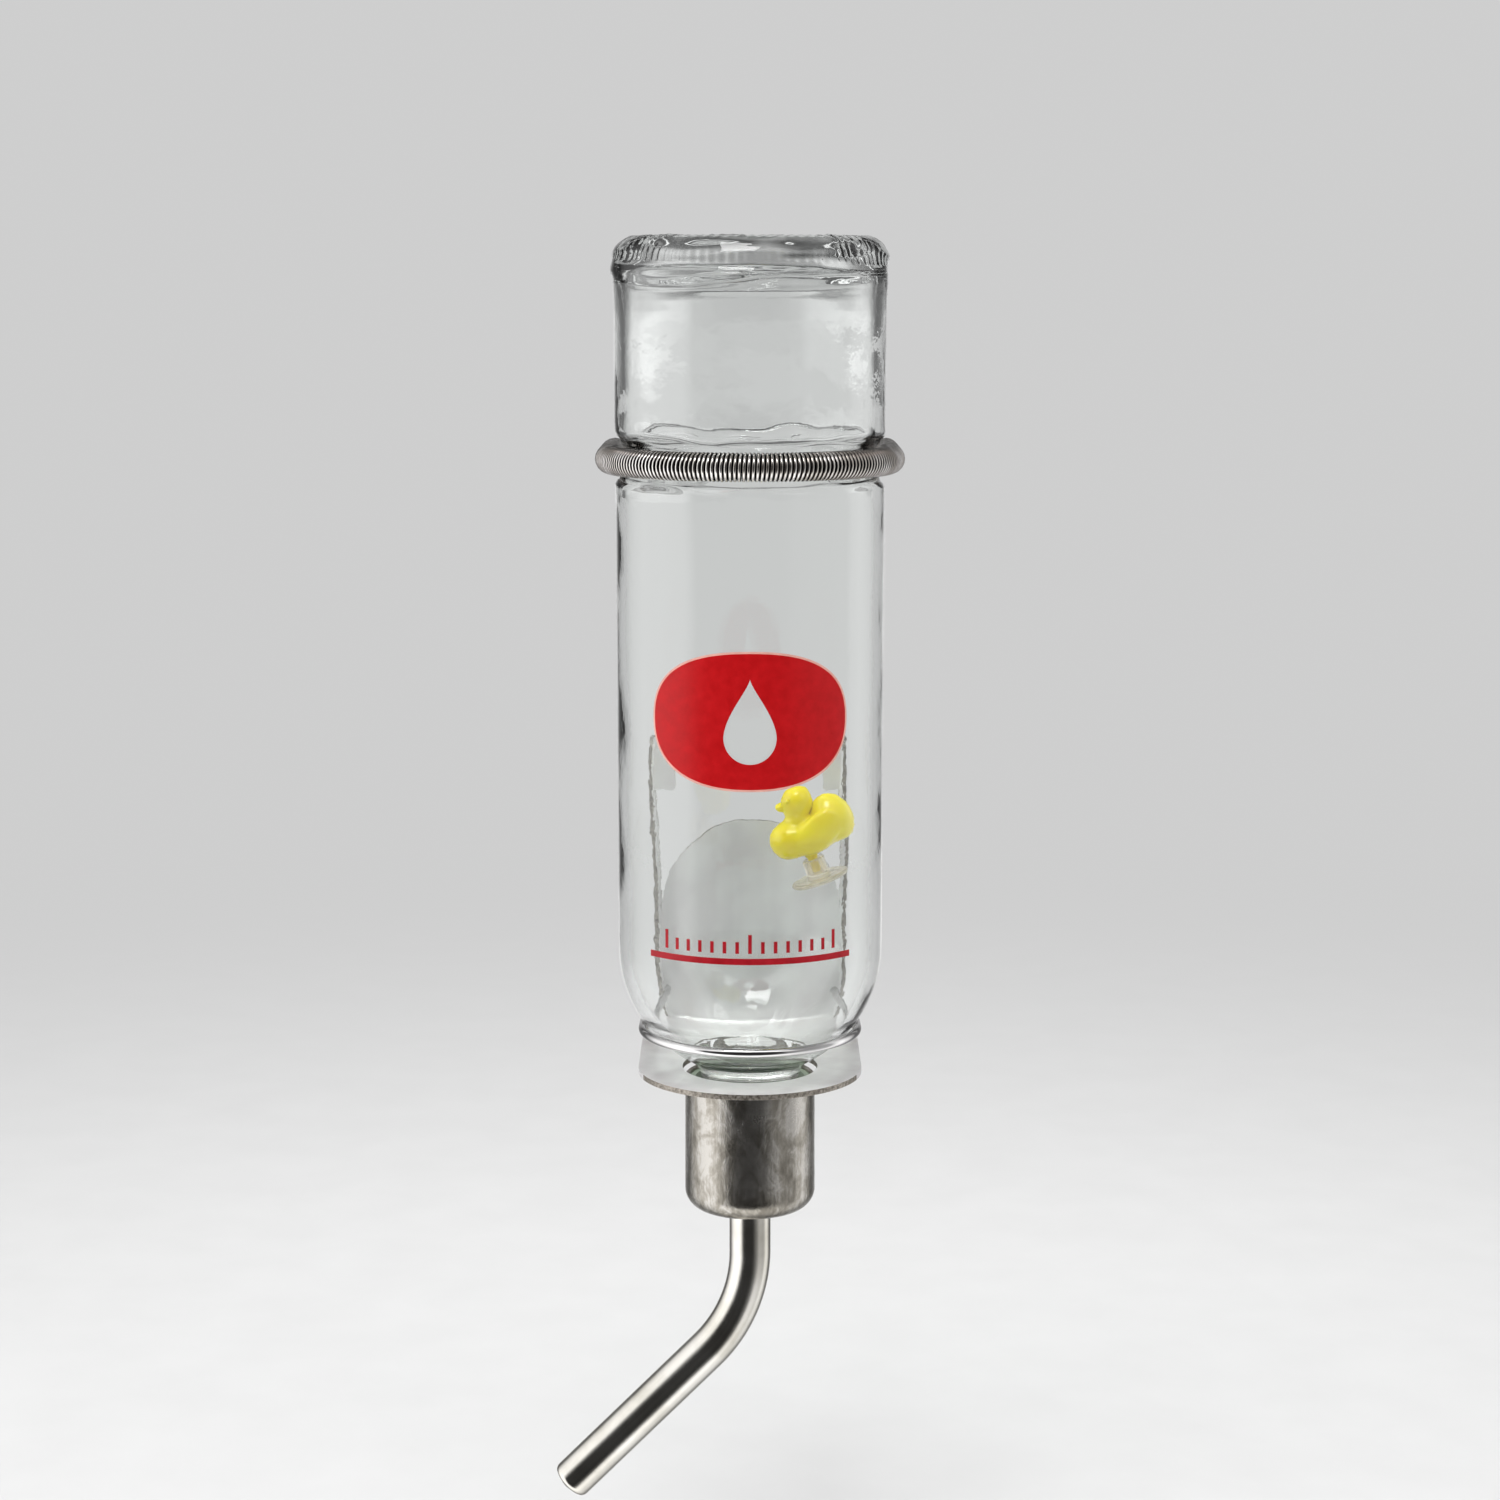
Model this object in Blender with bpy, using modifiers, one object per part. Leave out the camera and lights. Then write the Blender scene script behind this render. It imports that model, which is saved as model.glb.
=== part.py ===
"""Hanging glass water bottle for rabbits and other small livestock.

An inverted glass bottle stands in a folded sheet steel hanger. A coil spring
goes round the bottle's groove, a steel screw cap holds a bent drinking tube
with two valve balls, and a floating duck inside shows the water level.

Units are metres, +Z is up and the front faces -Y. The world origin is the
centre of the hanger's flat rear face. Heights in the constants are measured
from the top of the hanger's shelf, and radii from the bottle's axis.
"""

import math

import bmesh
import bpy
from mathutils import Euler, Matrix, Vector

# Frame
SHELF_Z = -0.025
AXIS_Y = -0.0322

# Hanger: one sheet of steel, folded
SHEET = 0.0012
HANGER_WIDTH = 0.0508
SHELF_HOLE_R = 0.0154
FOLD_R = 0.0015
BACK_TOP_H = 0.0521
ARM_TOP_H = 0.0715
ARM_DEPTH = 0.0062
ARM_LIFT = 0.0005
EAR_WIDTH = 0.0065
EAR_HEIGHT = 0.0132
ARM_CORNER = 0.0025
HOOK_REACH = 0.0052
HOOK_NOSE = 0.0020
HOOK_DROP = 0.0110
HOOK_INSET = 0.0020
HOOK_THICK = 0.0030
HOOK_ROUND = 0.0015
PLATE_TO_ARM = 0.0004
TRIM = 0.0020

# Wire cradle that carries the bottle's shoulder
CRADLE_R = 0.0245
CRADLE_H = 0.0092
CRADLE_WIRE_R = 0.0010
CRADLE_LEG_X = 0.0228
CRADLE_LEG_FRONT_Y = 0.0040
CRADLE_LEG_END_Y = 0.0296
CRADLE_WELD = 0.0042

# Glass bottle, standing on its mouth
BOTTLE_R = 0.0298
UPPER_R = 0.0300
HEEL_R = 0.0304
WALL = 0.0024
BASE_TOP_H = 0.1869
HEEL_ROUND = 0.0056
BASE_PANEL_R = 0.0215
PUSH_UP = 0.0024
FLOOR_H = 0.1839
HEEL_FOOT_H = 0.1765
GROOVE_R = 0.0277
GROOVE_LOW_H = 0.1340
GROOVE_HIGH_H = 0.1439
GROOVE_ROUND = 0.0019
GROOVE_FOOT = 0.0005
LIP_ROUND = 0.0006
FLOOR_CORNER = 0.0034
SHOULDER_H = 0.02835
NECK_R = 0.0112
NECK_BORE_R = 0.0092
NECK_FILLET = 0.0025
MOUTH_H = -0.0170

# Screw thread between the neck and the cap
PITCH = 0.00318
THREAD_WIRE_R = 0.0009
THREAD_LOW_H = -0.0145
THREAD_TURNS = 1.5
THREAD_STEPS = 20
RUNNING_GAP = 0.0003

# Coil spring
COIL_R = 0.003175
COIL_PATH_R = 0.0311
COIL_H = 0.1387
COIL_LEG_END_Y = 0.0262
SPRING_WIRE_R = 0.00045
HOOK_BEND_R = 0.0030
HOOK_SHANK = 0.0052
HOOK_ROOT = 0.0030
HOOK_TURN = 190

# Screw cap
CAP_R = 0.01485
CAP_WALL = 0.00045
CAP_TOP_H = -0.0018
CAP_BOTTOM_H = -0.0330
CAP_ROUND = 0.0045
CAP_HOLE_R = 0.0058
LIP_R = 0.00055

# Threaded insert, gasket and grommet inside the cap
INSERT_R = 0.0141
INSERT_BORE_R = 0.0115
INSERT_SKIRT_R = 0.0125
INSERT_TOP_H = -0.0026
INSERT_THREAD_TOP_H = -0.0085
INSERT_LOW_H = -0.0196
INSERT_EASE = 0.0004
GASKET_R = 0.0111
GASKET_BORE_R = 0.0055
GASKET_TOP_H = -0.0173
GASKET_LOW_H = -0.0192
GASKET_SOFT = 0.0003
GROMMET_R = 0.0139
GROMMET_TOP_H = -0.0199
GROMMET_LOW_H = -0.0322
GROMMET_BORE_R = 0.00505
GROMMET_RECESS_R = 0.0082
GROMMET_RECESS_H = 0.0008
GROMMET_SEAT = 0.0006

# Drinking tube
TUBE_R = 0.00475
TUBE_WALL = 0.0007
TUBE_TOP_H = -0.0195
TUBE_FLARE_R = 0.0076
TUBE_FLARE_H = 0.0016
BEND_TOP_H = -0.0438
BEND_R = 0.0340
BEND_ANGLE = math.radians(45)
LOWER_LENGTH = 0.0453
TIP_MOUTH_R = 0.0034
TIP_ROLL = 0.0014

# Valve balls
BALL_R = 0.00385
BALL_SEAT_DEPTH = 0.0024

# Floating duck; local heights run from the keel disc along the duck's own axis
DUCK_AT = Vector((0.0158, 0.0, 0.0438))
DUCK_LEAN = math.radians(-20)
KEEL_R = 0.0066
KEEL_THICK = 0.0011
KEEL_HUB_R = 0.0026
KEEL_HUB_H = 0.0048
STEM_R = 0.0010
STEM_LOW_H = 0.0016
STEM_TOP_H = 0.0080
# Ellipsoids as (centre, radii), in the duck's own frame with its bill to -X
BREAST_SHAPE = ((-0.0037, 0, 0.0107), (0.0043, 0.0046, 0.0043))
BODY_SHAPE = ((0.0014, 0, 0.0099), (0.0066, 0.0052, 0.0042))
NECK_SHAPE = ((-0.0007, 0, 0.0144), (0.0027, 0.0026, 0.0024))
HEAD_SHAPE = ((0.0006, 0, 0.0182), (0.0034, 0.0031, 0.0033))
BILL_SHAPE = ((-0.0029, 0, 0.0187), (0.0014, 0.0013, 0.0008))
TAIL_SHAPE = ((0.0075, 0, 0.0121), (0.0042, 0.0036, 0.0054))
TAIL_TILT = math.radians(-9)

ROUND_STEPS = 32
BOTTLE_STEPS = 32


def above_shelf(x, y, height):
    """World position of a point given from the bottle's axis and the shelf's top."""
    return Vector((x, AXIS_Y + y, SHELF_Z + height))


def clear_scene():
    for old in list(bpy.data.objects):
        bpy.data.objects.remove(old, do_unlink=True)


def make_collection(name):
    collection = bpy.data.collections.new(name)
    bpy.context.scene.collection.children.link(collection)
    return collection


clear_scene()
PARTS = make_collection("rabbit_water_bottle")
CUTTERS = make_collection("cutters")


def make_material(name, colour, roughness, metallic=0.0, alpha=1.0, transmission=0.0):
    material = bpy.data.materials.new(name)
    material.use_nodes = True
    shader = material.node_tree.nodes["Principled BSDF"]
    shader.inputs["Base Color"].default_value = (*colour, 1.0)
    shader.inputs["Roughness"].default_value = roughness
    shader.inputs["Metallic"].default_value = metallic
    shader.inputs["Alpha"].default_value = alpha
    shader.inputs["Transmission Weight"].default_value = transmission
    return material


def add_object(name, mesh, location, material=None):
    """Link a mesh as a part, or as a hidden cutter when it has no material."""
    obj = bpy.data.objects.new(name, mesh)
    obj.location = location
    if material:
        mesh.materials.append(material)
        PARTS.objects.link(obj)
    else:
        CUTTERS.objects.link(obj)
        obj.hide_render = True
        obj.display_type = "WIRE"
    return obj


def turned(name, profile, location, material=None, steps=ROUND_STEPS, closed=False):
    """A profile of (radius, height) points, turned about +Z by a Screw modifier."""
    mesh = bpy.data.meshes.new(name)
    edges = [(i, i + 1) for i in range(len(profile) - 1)]
    if closed:
        edges.append((len(profile) - 1, 0))
    mesh.from_pydata([(r, 0.0, h) for r, h in profile], edges, [])
    obj = add_object(name, mesh, location, material)
    screw = obj.modifiers.new("turn", "SCREW")
    screw.axis = "Z"
    screw.steps = steps
    screw.render_steps = steps
    screw.use_merge_vertices = True
    screw.merge_threshold = 0.00001
    screw.use_smooth_shade = True
    return obj


def arc(centre, radius, start, end, count):
    """Points on an arc in the (radius, height) plane; angles in degrees from outward."""
    points = []
    for i in range(count + 1):
        angle = math.radians(start + (end - start) * i / count)
        points.append(
            (centre[0] + radius * math.cos(angle), centre[1] + radius * math.sin(angle))
        )
    return points


def swept(name, points, radius, location, material=None, radii=None, resolution=2, caps=True):
    """A round wire along points, made a mesh with its caps welded, or left open without caps."""
    data = bpy.data.curves.new(name, "CURVE")
    data.dimensions = "3D"
    data.bevel_depth = radius
    data.bevel_resolution = resolution
    data.use_fill_caps = caps
    spline = data.splines.new("POLY")
    spline.points.add(len(points) - 1)
    for i, point in enumerate(points):
        spline.points[i].co = (*point, 1.0)
        if radii:
            spline.points[i].radius = radii[i] / radius
    curve = bpy.data.objects.new(name + "_path", data)
    bpy.context.scene.collection.objects.link(curve)
    bpy.context.view_layer.update()
    mesh = bpy.data.meshes.new_from_object(
        curve.evaluated_get(bpy.context.evaluated_depsgraph_get())
    )
    bpy.data.objects.remove(curve, do_unlink=True)
    shape = bmesh.new()
    shape.from_mesh(mesh)
    bmesh.ops.remove_doubles(shape, verts=shape.verts, dist=0.000005)
    bmesh.ops.recalc_face_normals(shape, faces=shape.faces)
    shape.to_mesh(mesh)
    shape.free()
    mesh.name = name
    mesh.shade_smooth()
    return add_object(name, mesh, location, material)


def prism(name, outline, thickness, matrix, material=None):
    """A flat closed outline given a thickness along its own +Z, centred on its plane."""
    shape = bmesh.new()
    low = [shape.verts.new((x, y, -thickness / 2)) for x, y in outline]
    face = shape.faces.new(low)
    made = bmesh.ops.extrude_face_region(shape, geom=[face])
    raised = [item for item in made["geom"] if isinstance(item, bmesh.types.BMVert)]
    bmesh.ops.translate(shape, verts=raised, vec=(0, 0, thickness))
    bmesh.ops.recalc_face_normals(shape, faces=shape.faces)
    bmesh.ops.transform(shape, matrix=matrix, verts=shape.verts)
    mesh = bpy.data.meshes.new(name)
    shape.to_mesh(mesh)
    shape.free()
    return add_object(name, mesh, (0, 0, 0), material)


def boolean(obj, tool, operation):
    modifier = obj.modifiers.new(operation.lower() + "_" + tool.name, "BOOLEAN")
    modifier.operation = operation
    modifier.solver = "EXACT"
    modifier.object = tool


# ---------------------------------------------------------------- hanger


def hanger_section():
    """Side outline of the folded sheet, as (depth, height): shelf, fold, back plate."""
    front = AXIS_Y - HANGER_WIDTH / 2 - TRIM
    corner = (-SHEET - FOLD_R, SHELF_Z + FOLD_R)
    inner = arc(corner, FOLD_R, -90, 0, 5)
    outer = arc(corner, FOLD_R + SHEET, 0, -90, 5)
    top = SHELF_Z + ARM_TOP_H
    outline = [(front, SHELF_Z)] + inner + [(-SHEET, top), (0.0, top)]
    return outline + outer + [(front, SHELF_Z - SHEET)]


def shelf_plan():
    """Plan of the shelf, as (x, y): straight sides and a half round front."""
    radius = HANGER_WIDTH / 2
    rear = 2 * TRIM
    front = [(x, y + AXIS_Y) for x, y in arc((0.0, 0.0), radius, 180, 360, 32)]
    return front + [(radius, rear), (-radius, rear)]


def back_front_view():
    """Front view of the back plate, as (x, height): half round tongue between two ears."""
    half = HANGER_WIDTH / 2
    top = SHELF_Z + ARM_TOP_H
    ear_low = top - EAR_HEIGHT
    inside = half - EAR_WIDTH
    strip = half - SHEET - PLATE_TO_ARM
    tongue_centre = SHELF_Z + BACK_TOP_H - strip
    tongue = arc((0.0, tongue_centre), strip, 0, 180, 24)
    low = SHELF_Z - 2 * TRIM
    right = [(half, low), (half, top), (inside, top), (inside, ear_low), (strip, ear_low)]
    left = [(-x, y) for x, y in reversed(right)]
    return right + tongue + left


def side_arm(name, side):
    """Forward flange of the folded sheet, with the hook that drops over a cage wire."""
    low = SHELF_Z + ARM_LIFT
    top = SHELF_Z + ARM_TOP_H
    hook_top = top - HOOK_INSET
    hook_roof = hook_top - HOOK_THICK
    nose_low = hook_top - HOOK_DROP
    outline = [(-ARM_DEPTH, low)]
    outline += arc((-ARM_DEPTH + ARM_CORNER, top - ARM_CORNER), ARM_CORNER, 180, 90, 4)
    outline += [(0.0, top), (HOOK_INSET / 4, hook_top)]
    outline += arc((HOOK_REACH - HOOK_ROUND, hook_top - HOOK_ROUND), HOOK_ROUND, 90, 0, 3)
    outline += [(HOOK_REACH, nose_low), (HOOK_REACH - HOOK_NOSE, nose_low)]
    outline += [(HOOK_REACH - HOOK_NOSE, hook_roof), (0.0, hook_roof), (0.0, low)]
    middle = side * (HANGER_WIDTH - SHEET) / 2
    # The outline's (depth, height) plane stands in world Y and Z.
    stand = Matrix(((0, 0, 1, middle), (1, 0, 0, 0), (0, 1, 0, 0), (0, 0, 0, 1)))
    return prism(name, outline, SHEET, stand)


def build_hanger(steel):
    stand = Matrix(((0, 0, 1, 0), (1, 0, 0, 0), (0, 1, 0, 0), (0, 0, 0, 1)))
    hanger = prism("hanger_bracket", hanger_section(), HANGER_WIDTH + TRIM, stand, steel)
    # Two outlines trim the folded strip: the plan trims the shelf, the front
    # view trims the back plate, and each one passes the other by.
    reach = 4 * HANGER_WIDTH
    flat = Matrix.Translation((0, 0, SHELF_Z))
    plan = prism("shelf_plan", shelf_plan(), reach, flat)
    upright = Matrix(((1, 0, 0, 0), (0, 0, -1, 0), (0, 1, 0, 0), (0, 0, 0, 1)))
    front = prism("back_front_view", back_front_view(), reach, upright)
    boolean(hanger, plan, "INTERSECT")
    boolean(hanger, front, "INTERSECT")
    deep = 8 * SHEET
    hole_profile = [(0.0, deep), (SHELF_HOLE_R, deep), (SHELF_HOLE_R, -deep), (0.0, -deep)]
    hole = turned("shelf_hole", hole_profile, above_shelf(0, 0, 0), steps=48)
    boolean(hanger, hole, "DIFFERENCE")
    for name, side in (("left_arm", -1), ("right_arm", 1)):
        boolean(hanger, side_arm(name, side), "UNION")
    return hanger


def build_cradle(steel):
    """Wire bent to a U: half round in front, legs welded inside the hanger's arms."""
    points = []
    for x, y in arc((0.0, 0.0), CRADLE_R, 180, 360, 28):
        points.append((x, y, 0.0))
    weld_start_y = CRADLE_LEG_END_Y - CRADLE_WELD
    left = [(-CRADLE_LEG_X, CRADLE_LEG_END_Y, 0.0), (-CRADLE_LEG_X, weld_start_y, 0.0)]
    left.append((-CRADLE_R, CRADLE_LEG_FRONT_Y, 0.0))
    right = [(-x, y, z) for x, y, z in reversed(left)]
    location = above_shelf(0, 0, CRADLE_H)
    return swept("cradle_wire", left + points + right, CRADLE_WIRE_R, location, steel, resolution=2)


# ---------------------------------------------------------------- bottle


def groove(radius_above, radius_below, bottom):
    """The spring's groove from its upper lip down to its lower lip, with soft edges."""
    r = GROOVE_ROUND
    foot = bottom + GROOVE_FOOT
    points = arc((radius_above - r, GROOVE_HIGH_H + r * 0.7), r, 0, -60, 2)
    points += [(foot, GROOVE_HIGH_H - r * 0.65), (bottom, GROOVE_HIGH_H - r * 1.35)]
    points += [(bottom, GROOVE_LOW_H + r * 1.35), (foot, GROOVE_LOW_H + r * 0.65)]
    points += arc((radius_below - r, GROOVE_LOW_H - r * 0.7), r, 60, 0, 2)
    return points


def bottle_outside():
    """Outer profile from the push-up in the base down to the mouth."""
    heel_centre = (HEEL_R - HEEL_ROUND, BASE_TOP_H - HEEL_ROUND)
    points = [(0.0, BASE_TOP_H - PUSH_UP), (BASE_PANEL_R * 0.6, BASE_TOP_H - PUSH_UP * 0.85)]
    points += [(BASE_PANEL_R, BASE_TOP_H - PUSH_UP * 0.2)]
    points += arc(heel_centre, HEEL_ROUND, 90, 0, 5)
    points += [(HEEL_R, HEEL_FOOT_H), (UPPER_R, HEEL_FOOT_H - HEEL_ROUND)]
    points += groove(UPPER_R, BOTTLE_R, GROOVE_R)
    shoulder = math.degrees(math.asin((NECK_R + NECK_FILLET * 0.8) / BOTTLE_R)) - 90
    points += arc((0.0, SHOULDER_H), BOTTLE_R, 0, shoulder, 10)
    root_h = SHOULDER_H - math.sqrt(BOTTLE_R**2 - NECK_R**2)
    points += [(NECK_R + NECK_FILLET / 4, root_h - NECK_FILLET / 3), (NECK_R, root_h - NECK_FILLET)]
    points += arc((NECK_R - LIP_ROUND, MOUTH_H + LIP_ROUND), LIP_ROUND, 0, -90, 2)
    return points


def bottle_inside():
    """Inner profile from the mouth up to the floor, which follows the push-up."""
    bore = BOTTLE_R - WALL
    shoulder = math.degrees(math.asin(NECK_BORE_R / bore)) - 90
    points = [(NECK_BORE_R, MOUTH_H)]
    points += arc((0.0, SHOULDER_H), bore, shoulder, 0, 8)
    points += list(reversed(groove(UPPER_R - WALL, BOTTLE_R - WALL, GROOVE_R - WALL)))
    corner = (UPPER_R - WALL - FLOOR_CORNER, FLOOR_H - FLOOR_CORNER)
    points += arc(corner, FLOOR_CORNER, 0, 90, 4)
    points += [(BASE_PANEL_R, FLOOR_H - PUSH_UP * 0.2)]
    points += [(BASE_PANEL_R * 0.6, FLOOR_H - PUSH_UP * 0.85), (0.0, FLOOR_H - PUSH_UP)]
    return points


def helix(low, high, radius):
    """Points on a right-hand helix of the thread's pitch that passes through its start."""
    first = (low - THREAD_LOW_H) / PITCH
    last = (high - THREAD_LOW_H) / PITCH
    count = max(3, round((last - first) * THREAD_STEPS))
    points = []
    for i in range(count + 1):
        turn = first + (last - first) * i / count
        angle = 2 * math.pi * turn
        height = THREAD_LOW_H + PITCH * turn
        points.append((radius * math.cos(angle), radius * math.sin(angle), height))
    return points


def build_bottle(glass):
    profile = bottle_outside() + bottle_inside()
    bottle = turned(
        "glass_bottle", profile, above_shelf(0, 0, 0), glass, steps=BOTTLE_STEPS
    )
    ridge_points = helix(THREAD_LOW_H, THREAD_LOW_H + THREAD_TURNS * PITCH, NECK_R - 0.0001)
    last = len(ridge_points) - 1
    fade = 4
    radii = []
    for i in range(len(ridge_points)):
        share = min(1.0, min(i, last - i) / fade)
        radii.append(THREAD_WIRE_R * (0.45 + 0.55 * share))
    ridge = swept(
        "neck_thread", ridge_points, THREAD_WIRE_R, above_shelf(0, 0, 0), radii=radii, resolution=1
    )
    boolean(bottle, ridge, "UNION")
    return bottle


# ---------------------------------------------------------------- spring


def hook_path(side):
    """Shank from the top of the last coils, bent back down over a cage wire."""
    x = side * COIL_PATH_R
    top = COIL_R - 2 * SPRING_WIRE_R
    bend_y = COIL_LEG_END_Y + HOOK_SHANK
    points = [(x, COIL_LEG_END_Y - HOOK_ROOT, top)]
    steps = 8
    for i in range(steps + 1):
        angle = math.radians(HOOK_TURN * i / steps)
        height = top - HOOK_BEND_R * (1 - math.cos(angle))
        points.append((x, bend_y + HOOK_BEND_R * math.sin(angle), height))
    return points


def build_spring(steel):
    """Close-wound coil as its outer envelope, with a wire hook bent from each end."""
    half = [(x, y, 0.0) for x, y in arc((0.0, 0.0), COIL_PATH_R, 180, 360, 36)]
    ends = [(side * COIL_PATH_R, COIL_LEG_END_Y, 0.0) for side in (-1, 1)]
    path = [ends[0], *half, ends[1]]
    location = above_shelf(0, 0, COIL_H)
    spring = swept("coil_spring", path, COIL_R, location, steel, resolution=3)
    for name, side in (("left_hook", -1), ("right_hook", 1)):
        hook = swept(name, hook_path(side), SPRING_WIRE_R, location, resolution=1)
        boolean(spring, hook, "UNION")
    return spring


# ---------------------------------------------------------------- cap


def build_cap_shell(steel):
    """Deep-drawn cup with a rolled upper lip and a hole in its floor."""
    inner = CAP_R - CAP_WALL
    round_in = CAP_ROUND - CAP_WALL
    corner = (CAP_R - CAP_ROUND, CAP_BOTTOM_H + CAP_ROUND)
    lip = (CAP_R - LIP_R, CAP_TOP_H - LIP_R)
    profile = arc(lip, LIP_R, 180, 0, 5)
    profile += arc(corner, CAP_ROUND, 0, -90, 7)
    profile += [(CAP_HOLE_R, CAP_BOTTOM_H), (CAP_HOLE_R, CAP_BOTTOM_H + CAP_WALL)]
    profile += arc(corner, round_in, -90, 0, 7)
    profile += [(inner, CAP_TOP_H - LIP_R * 3), (CAP_R - 2 * LIP_R, CAP_TOP_H - LIP_R * 2)]
    return turned("cap_shell", profile, above_shelf(0, 0, 0), steel, closed=True)


def build_thread_insert(plastic):
    """Plastic sleeve in the cap: smooth skirt above, female thread below it."""
    profile = [
        (INSERT_SKIRT_R, INSERT_TOP_H),
        (INSERT_R - INSERT_EASE, INSERT_TOP_H),
        (INSERT_R - INSERT_EASE / 4, INSERT_TOP_H - 5 * INSERT_EASE),
        (INSERT_R, INSERT_LOW_H),
        (INSERT_BORE_R, INSERT_LOW_H),
        (INSERT_BORE_R, INSERT_THREAD_TOP_H - INSERT_EASE),
        (INSERT_SKIRT_R, INSERT_THREAD_TOP_H),
    ]
    insert = turned("thread_insert", profile, above_shelf(0, 0, 0), plastic, closed=True)
    low = THREAD_LOW_H - 0.2 * PITCH
    high = INSERT_THREAD_TOP_H + 0.8 * PITCH
    path = helix(low, high, NECK_R - 0.0001)
    cutter = swept(
        "insert_thread", path, THREAD_WIRE_R + RUNNING_GAP, above_shelf(0, 0, 0), resolution=1
    )
    boolean(insert, cutter, "DIFFERENCE")
    return insert


def build_gasket(rubber):
    profile = [
        (GASKET_R - GASKET_SOFT, GASKET_TOP_H),
        (GASKET_R, GASKET_TOP_H - GASKET_SOFT),
        (GASKET_R, GASKET_LOW_H + GASKET_SOFT),
        (GASKET_R - GASKET_SOFT, GASKET_LOW_H),
        (GASKET_BORE_R, GASKET_LOW_H),
        (GASKET_BORE_R, GASKET_TOP_H),
    ]
    return turned("mouth_gasket", profile, above_shelf(0, 0, 0), rubber, closed=True)


def build_grommet(rubber):
    """Rubber plug that fills the foot of the cap and holds the tube by friction."""
    round_r = CAP_ROUND - 2 * CAP_WALL
    corner = (GROMMET_R - round_r, GROMMET_LOW_H + round_r)
    profile = [(GROMMET_RECESS_R, GROMMET_TOP_H), (GROMMET_R, GROMMET_TOP_H)]
    profile += arc(corner, round_r, 0, -90, 5)
    profile += [
        (GROMMET_BORE_R, GROMMET_LOW_H),
        (GROMMET_BORE_R, GROMMET_TOP_H - TUBE_FLARE_H - GROMMET_SEAT),
        (GROMMET_RECESS_R, GROMMET_TOP_H - GROMMET_RECESS_H),
    ]
    return turned("tube_grommet", profile, above_shelf(0, 0, 0), rubber, closed=True)


# ---------------------------------------------------------------- tube and balls


def lower_axis():
    """Direction in which the tube's lower length runs, down and to the left."""
    return Vector((-math.sin(BEND_ANGLE), 0.0, -math.cos(BEND_ANGLE)))


def bend_end():
    """Centre of the tube's section at the lower end of the bend, from the shelf's top."""
    drop = BEND_R * math.sin(BEND_ANGLE)
    return Vector((-BEND_R * (1 - math.cos(BEND_ANGLE)), 0.0, BEND_TOP_H - drop))


def tip_centre():
    return bend_end() + lower_axis() * LOWER_LENGTH


def tube_path():
    """(centre, outer radius) pairs from the flared upper end to the rolled tip."""
    path = []
    rim_h = TUBE_TOP_H - TUBE_WALL
    rim_steps = 4
    for i in range(rim_steps + 1):
        share = i / rim_steps
        flare = (TUBE_FLARE_R - TUBE_R) * (1 - math.sin(share * math.pi / 2))
        path.append((Vector((0, 0, rim_h - TUBE_FLARE_H * share)), TUBE_R + flare))
    path.append((Vector((0, 0, BEND_TOP_H)), TUBE_R))
    bend_steps = 12
    for i in range(1, bend_steps + 1):
        angle = BEND_ANGLE * i / bend_steps
        x = -BEND_R * (1 - math.cos(angle))
        path.append((Vector((x, 0, BEND_TOP_H - BEND_R * math.sin(angle))), TUBE_R))
    tip = tip_centre()
    for i in range(rim_steps + 1):
        angle = math.pi / 2 * i / rim_steps
        back = TIP_ROLL * (1 - math.sin(angle))
        rolled = (TUBE_R - TIP_MOUTH_R - TUBE_WALL) * (1 - math.cos(angle))
        path.append((tip - lower_axis() * back, TUBE_R - rolled))
    return path


def build_tube(steel):
    """Open swept surface given its wall by Solidify."""
    path = tube_path()
    tube = swept(
        "drinking_tube",
        [tuple(point) for point, _ in path],
        TUBE_R,
        above_shelf(0, 0, 0),
        steel,
        radii=[radius for _, radius in path],
        resolution=4,
        caps=False,
    )
    wall = tube.modifiers.new("wall", "SOLIDIFY")
    wall.thickness = TUBE_WALL
    wall.offset = -1.0
    wall.use_even_offset = True
    return tube


def build_ball(name, distance, steel):
    """A valve ball on the tube's lower axis, at a distance back from the tip."""
    shape = bmesh.new()
    bmesh.ops.create_uvsphere(shape, u_segments=20, v_segments=12, radius=BALL_R)
    mesh = bpy.data.meshes.new(name)
    shape.to_mesh(mesh)
    shape.free()
    mesh.shade_smooth()
    centre = tip_centre() - lower_axis() * distance
    ball = add_object(name, mesh, above_shelf(*centre), steel)
    ball.rotation_euler = (0, BEND_ANGLE, 0)
    return ball


# ---------------------------------------------------------------- duck


def ellipsoid(name, sizes, tilt=0.0, material=None):
    """One (centre, radii) ellipsoid of the duck, tilted about its own centre."""
    centre, radii = sizes
    shape = bmesh.new()
    bmesh.ops.create_uvsphere(shape, u_segments=16, v_segments=10, radius=1.0)
    bmesh.ops.scale(shape, vec=radii, verts=shape.verts)
    bmesh.ops.rotate(shape, matrix=Matrix.Rotation(tilt, 3, "Y"), verts=shape.verts)
    bmesh.ops.translate(shape, vec=centre, verts=shape.verts)
    mesh = bpy.data.meshes.new(name)
    shape.to_mesh(mesh)
    shape.free()
    mesh.shade_smooth()
    obj = add_object(name, mesh, above_shelf(*DUCK_AT), material)
    obj.rotation_euler = Euler((0, DUCK_LEAN, 0))
    return obj


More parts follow.
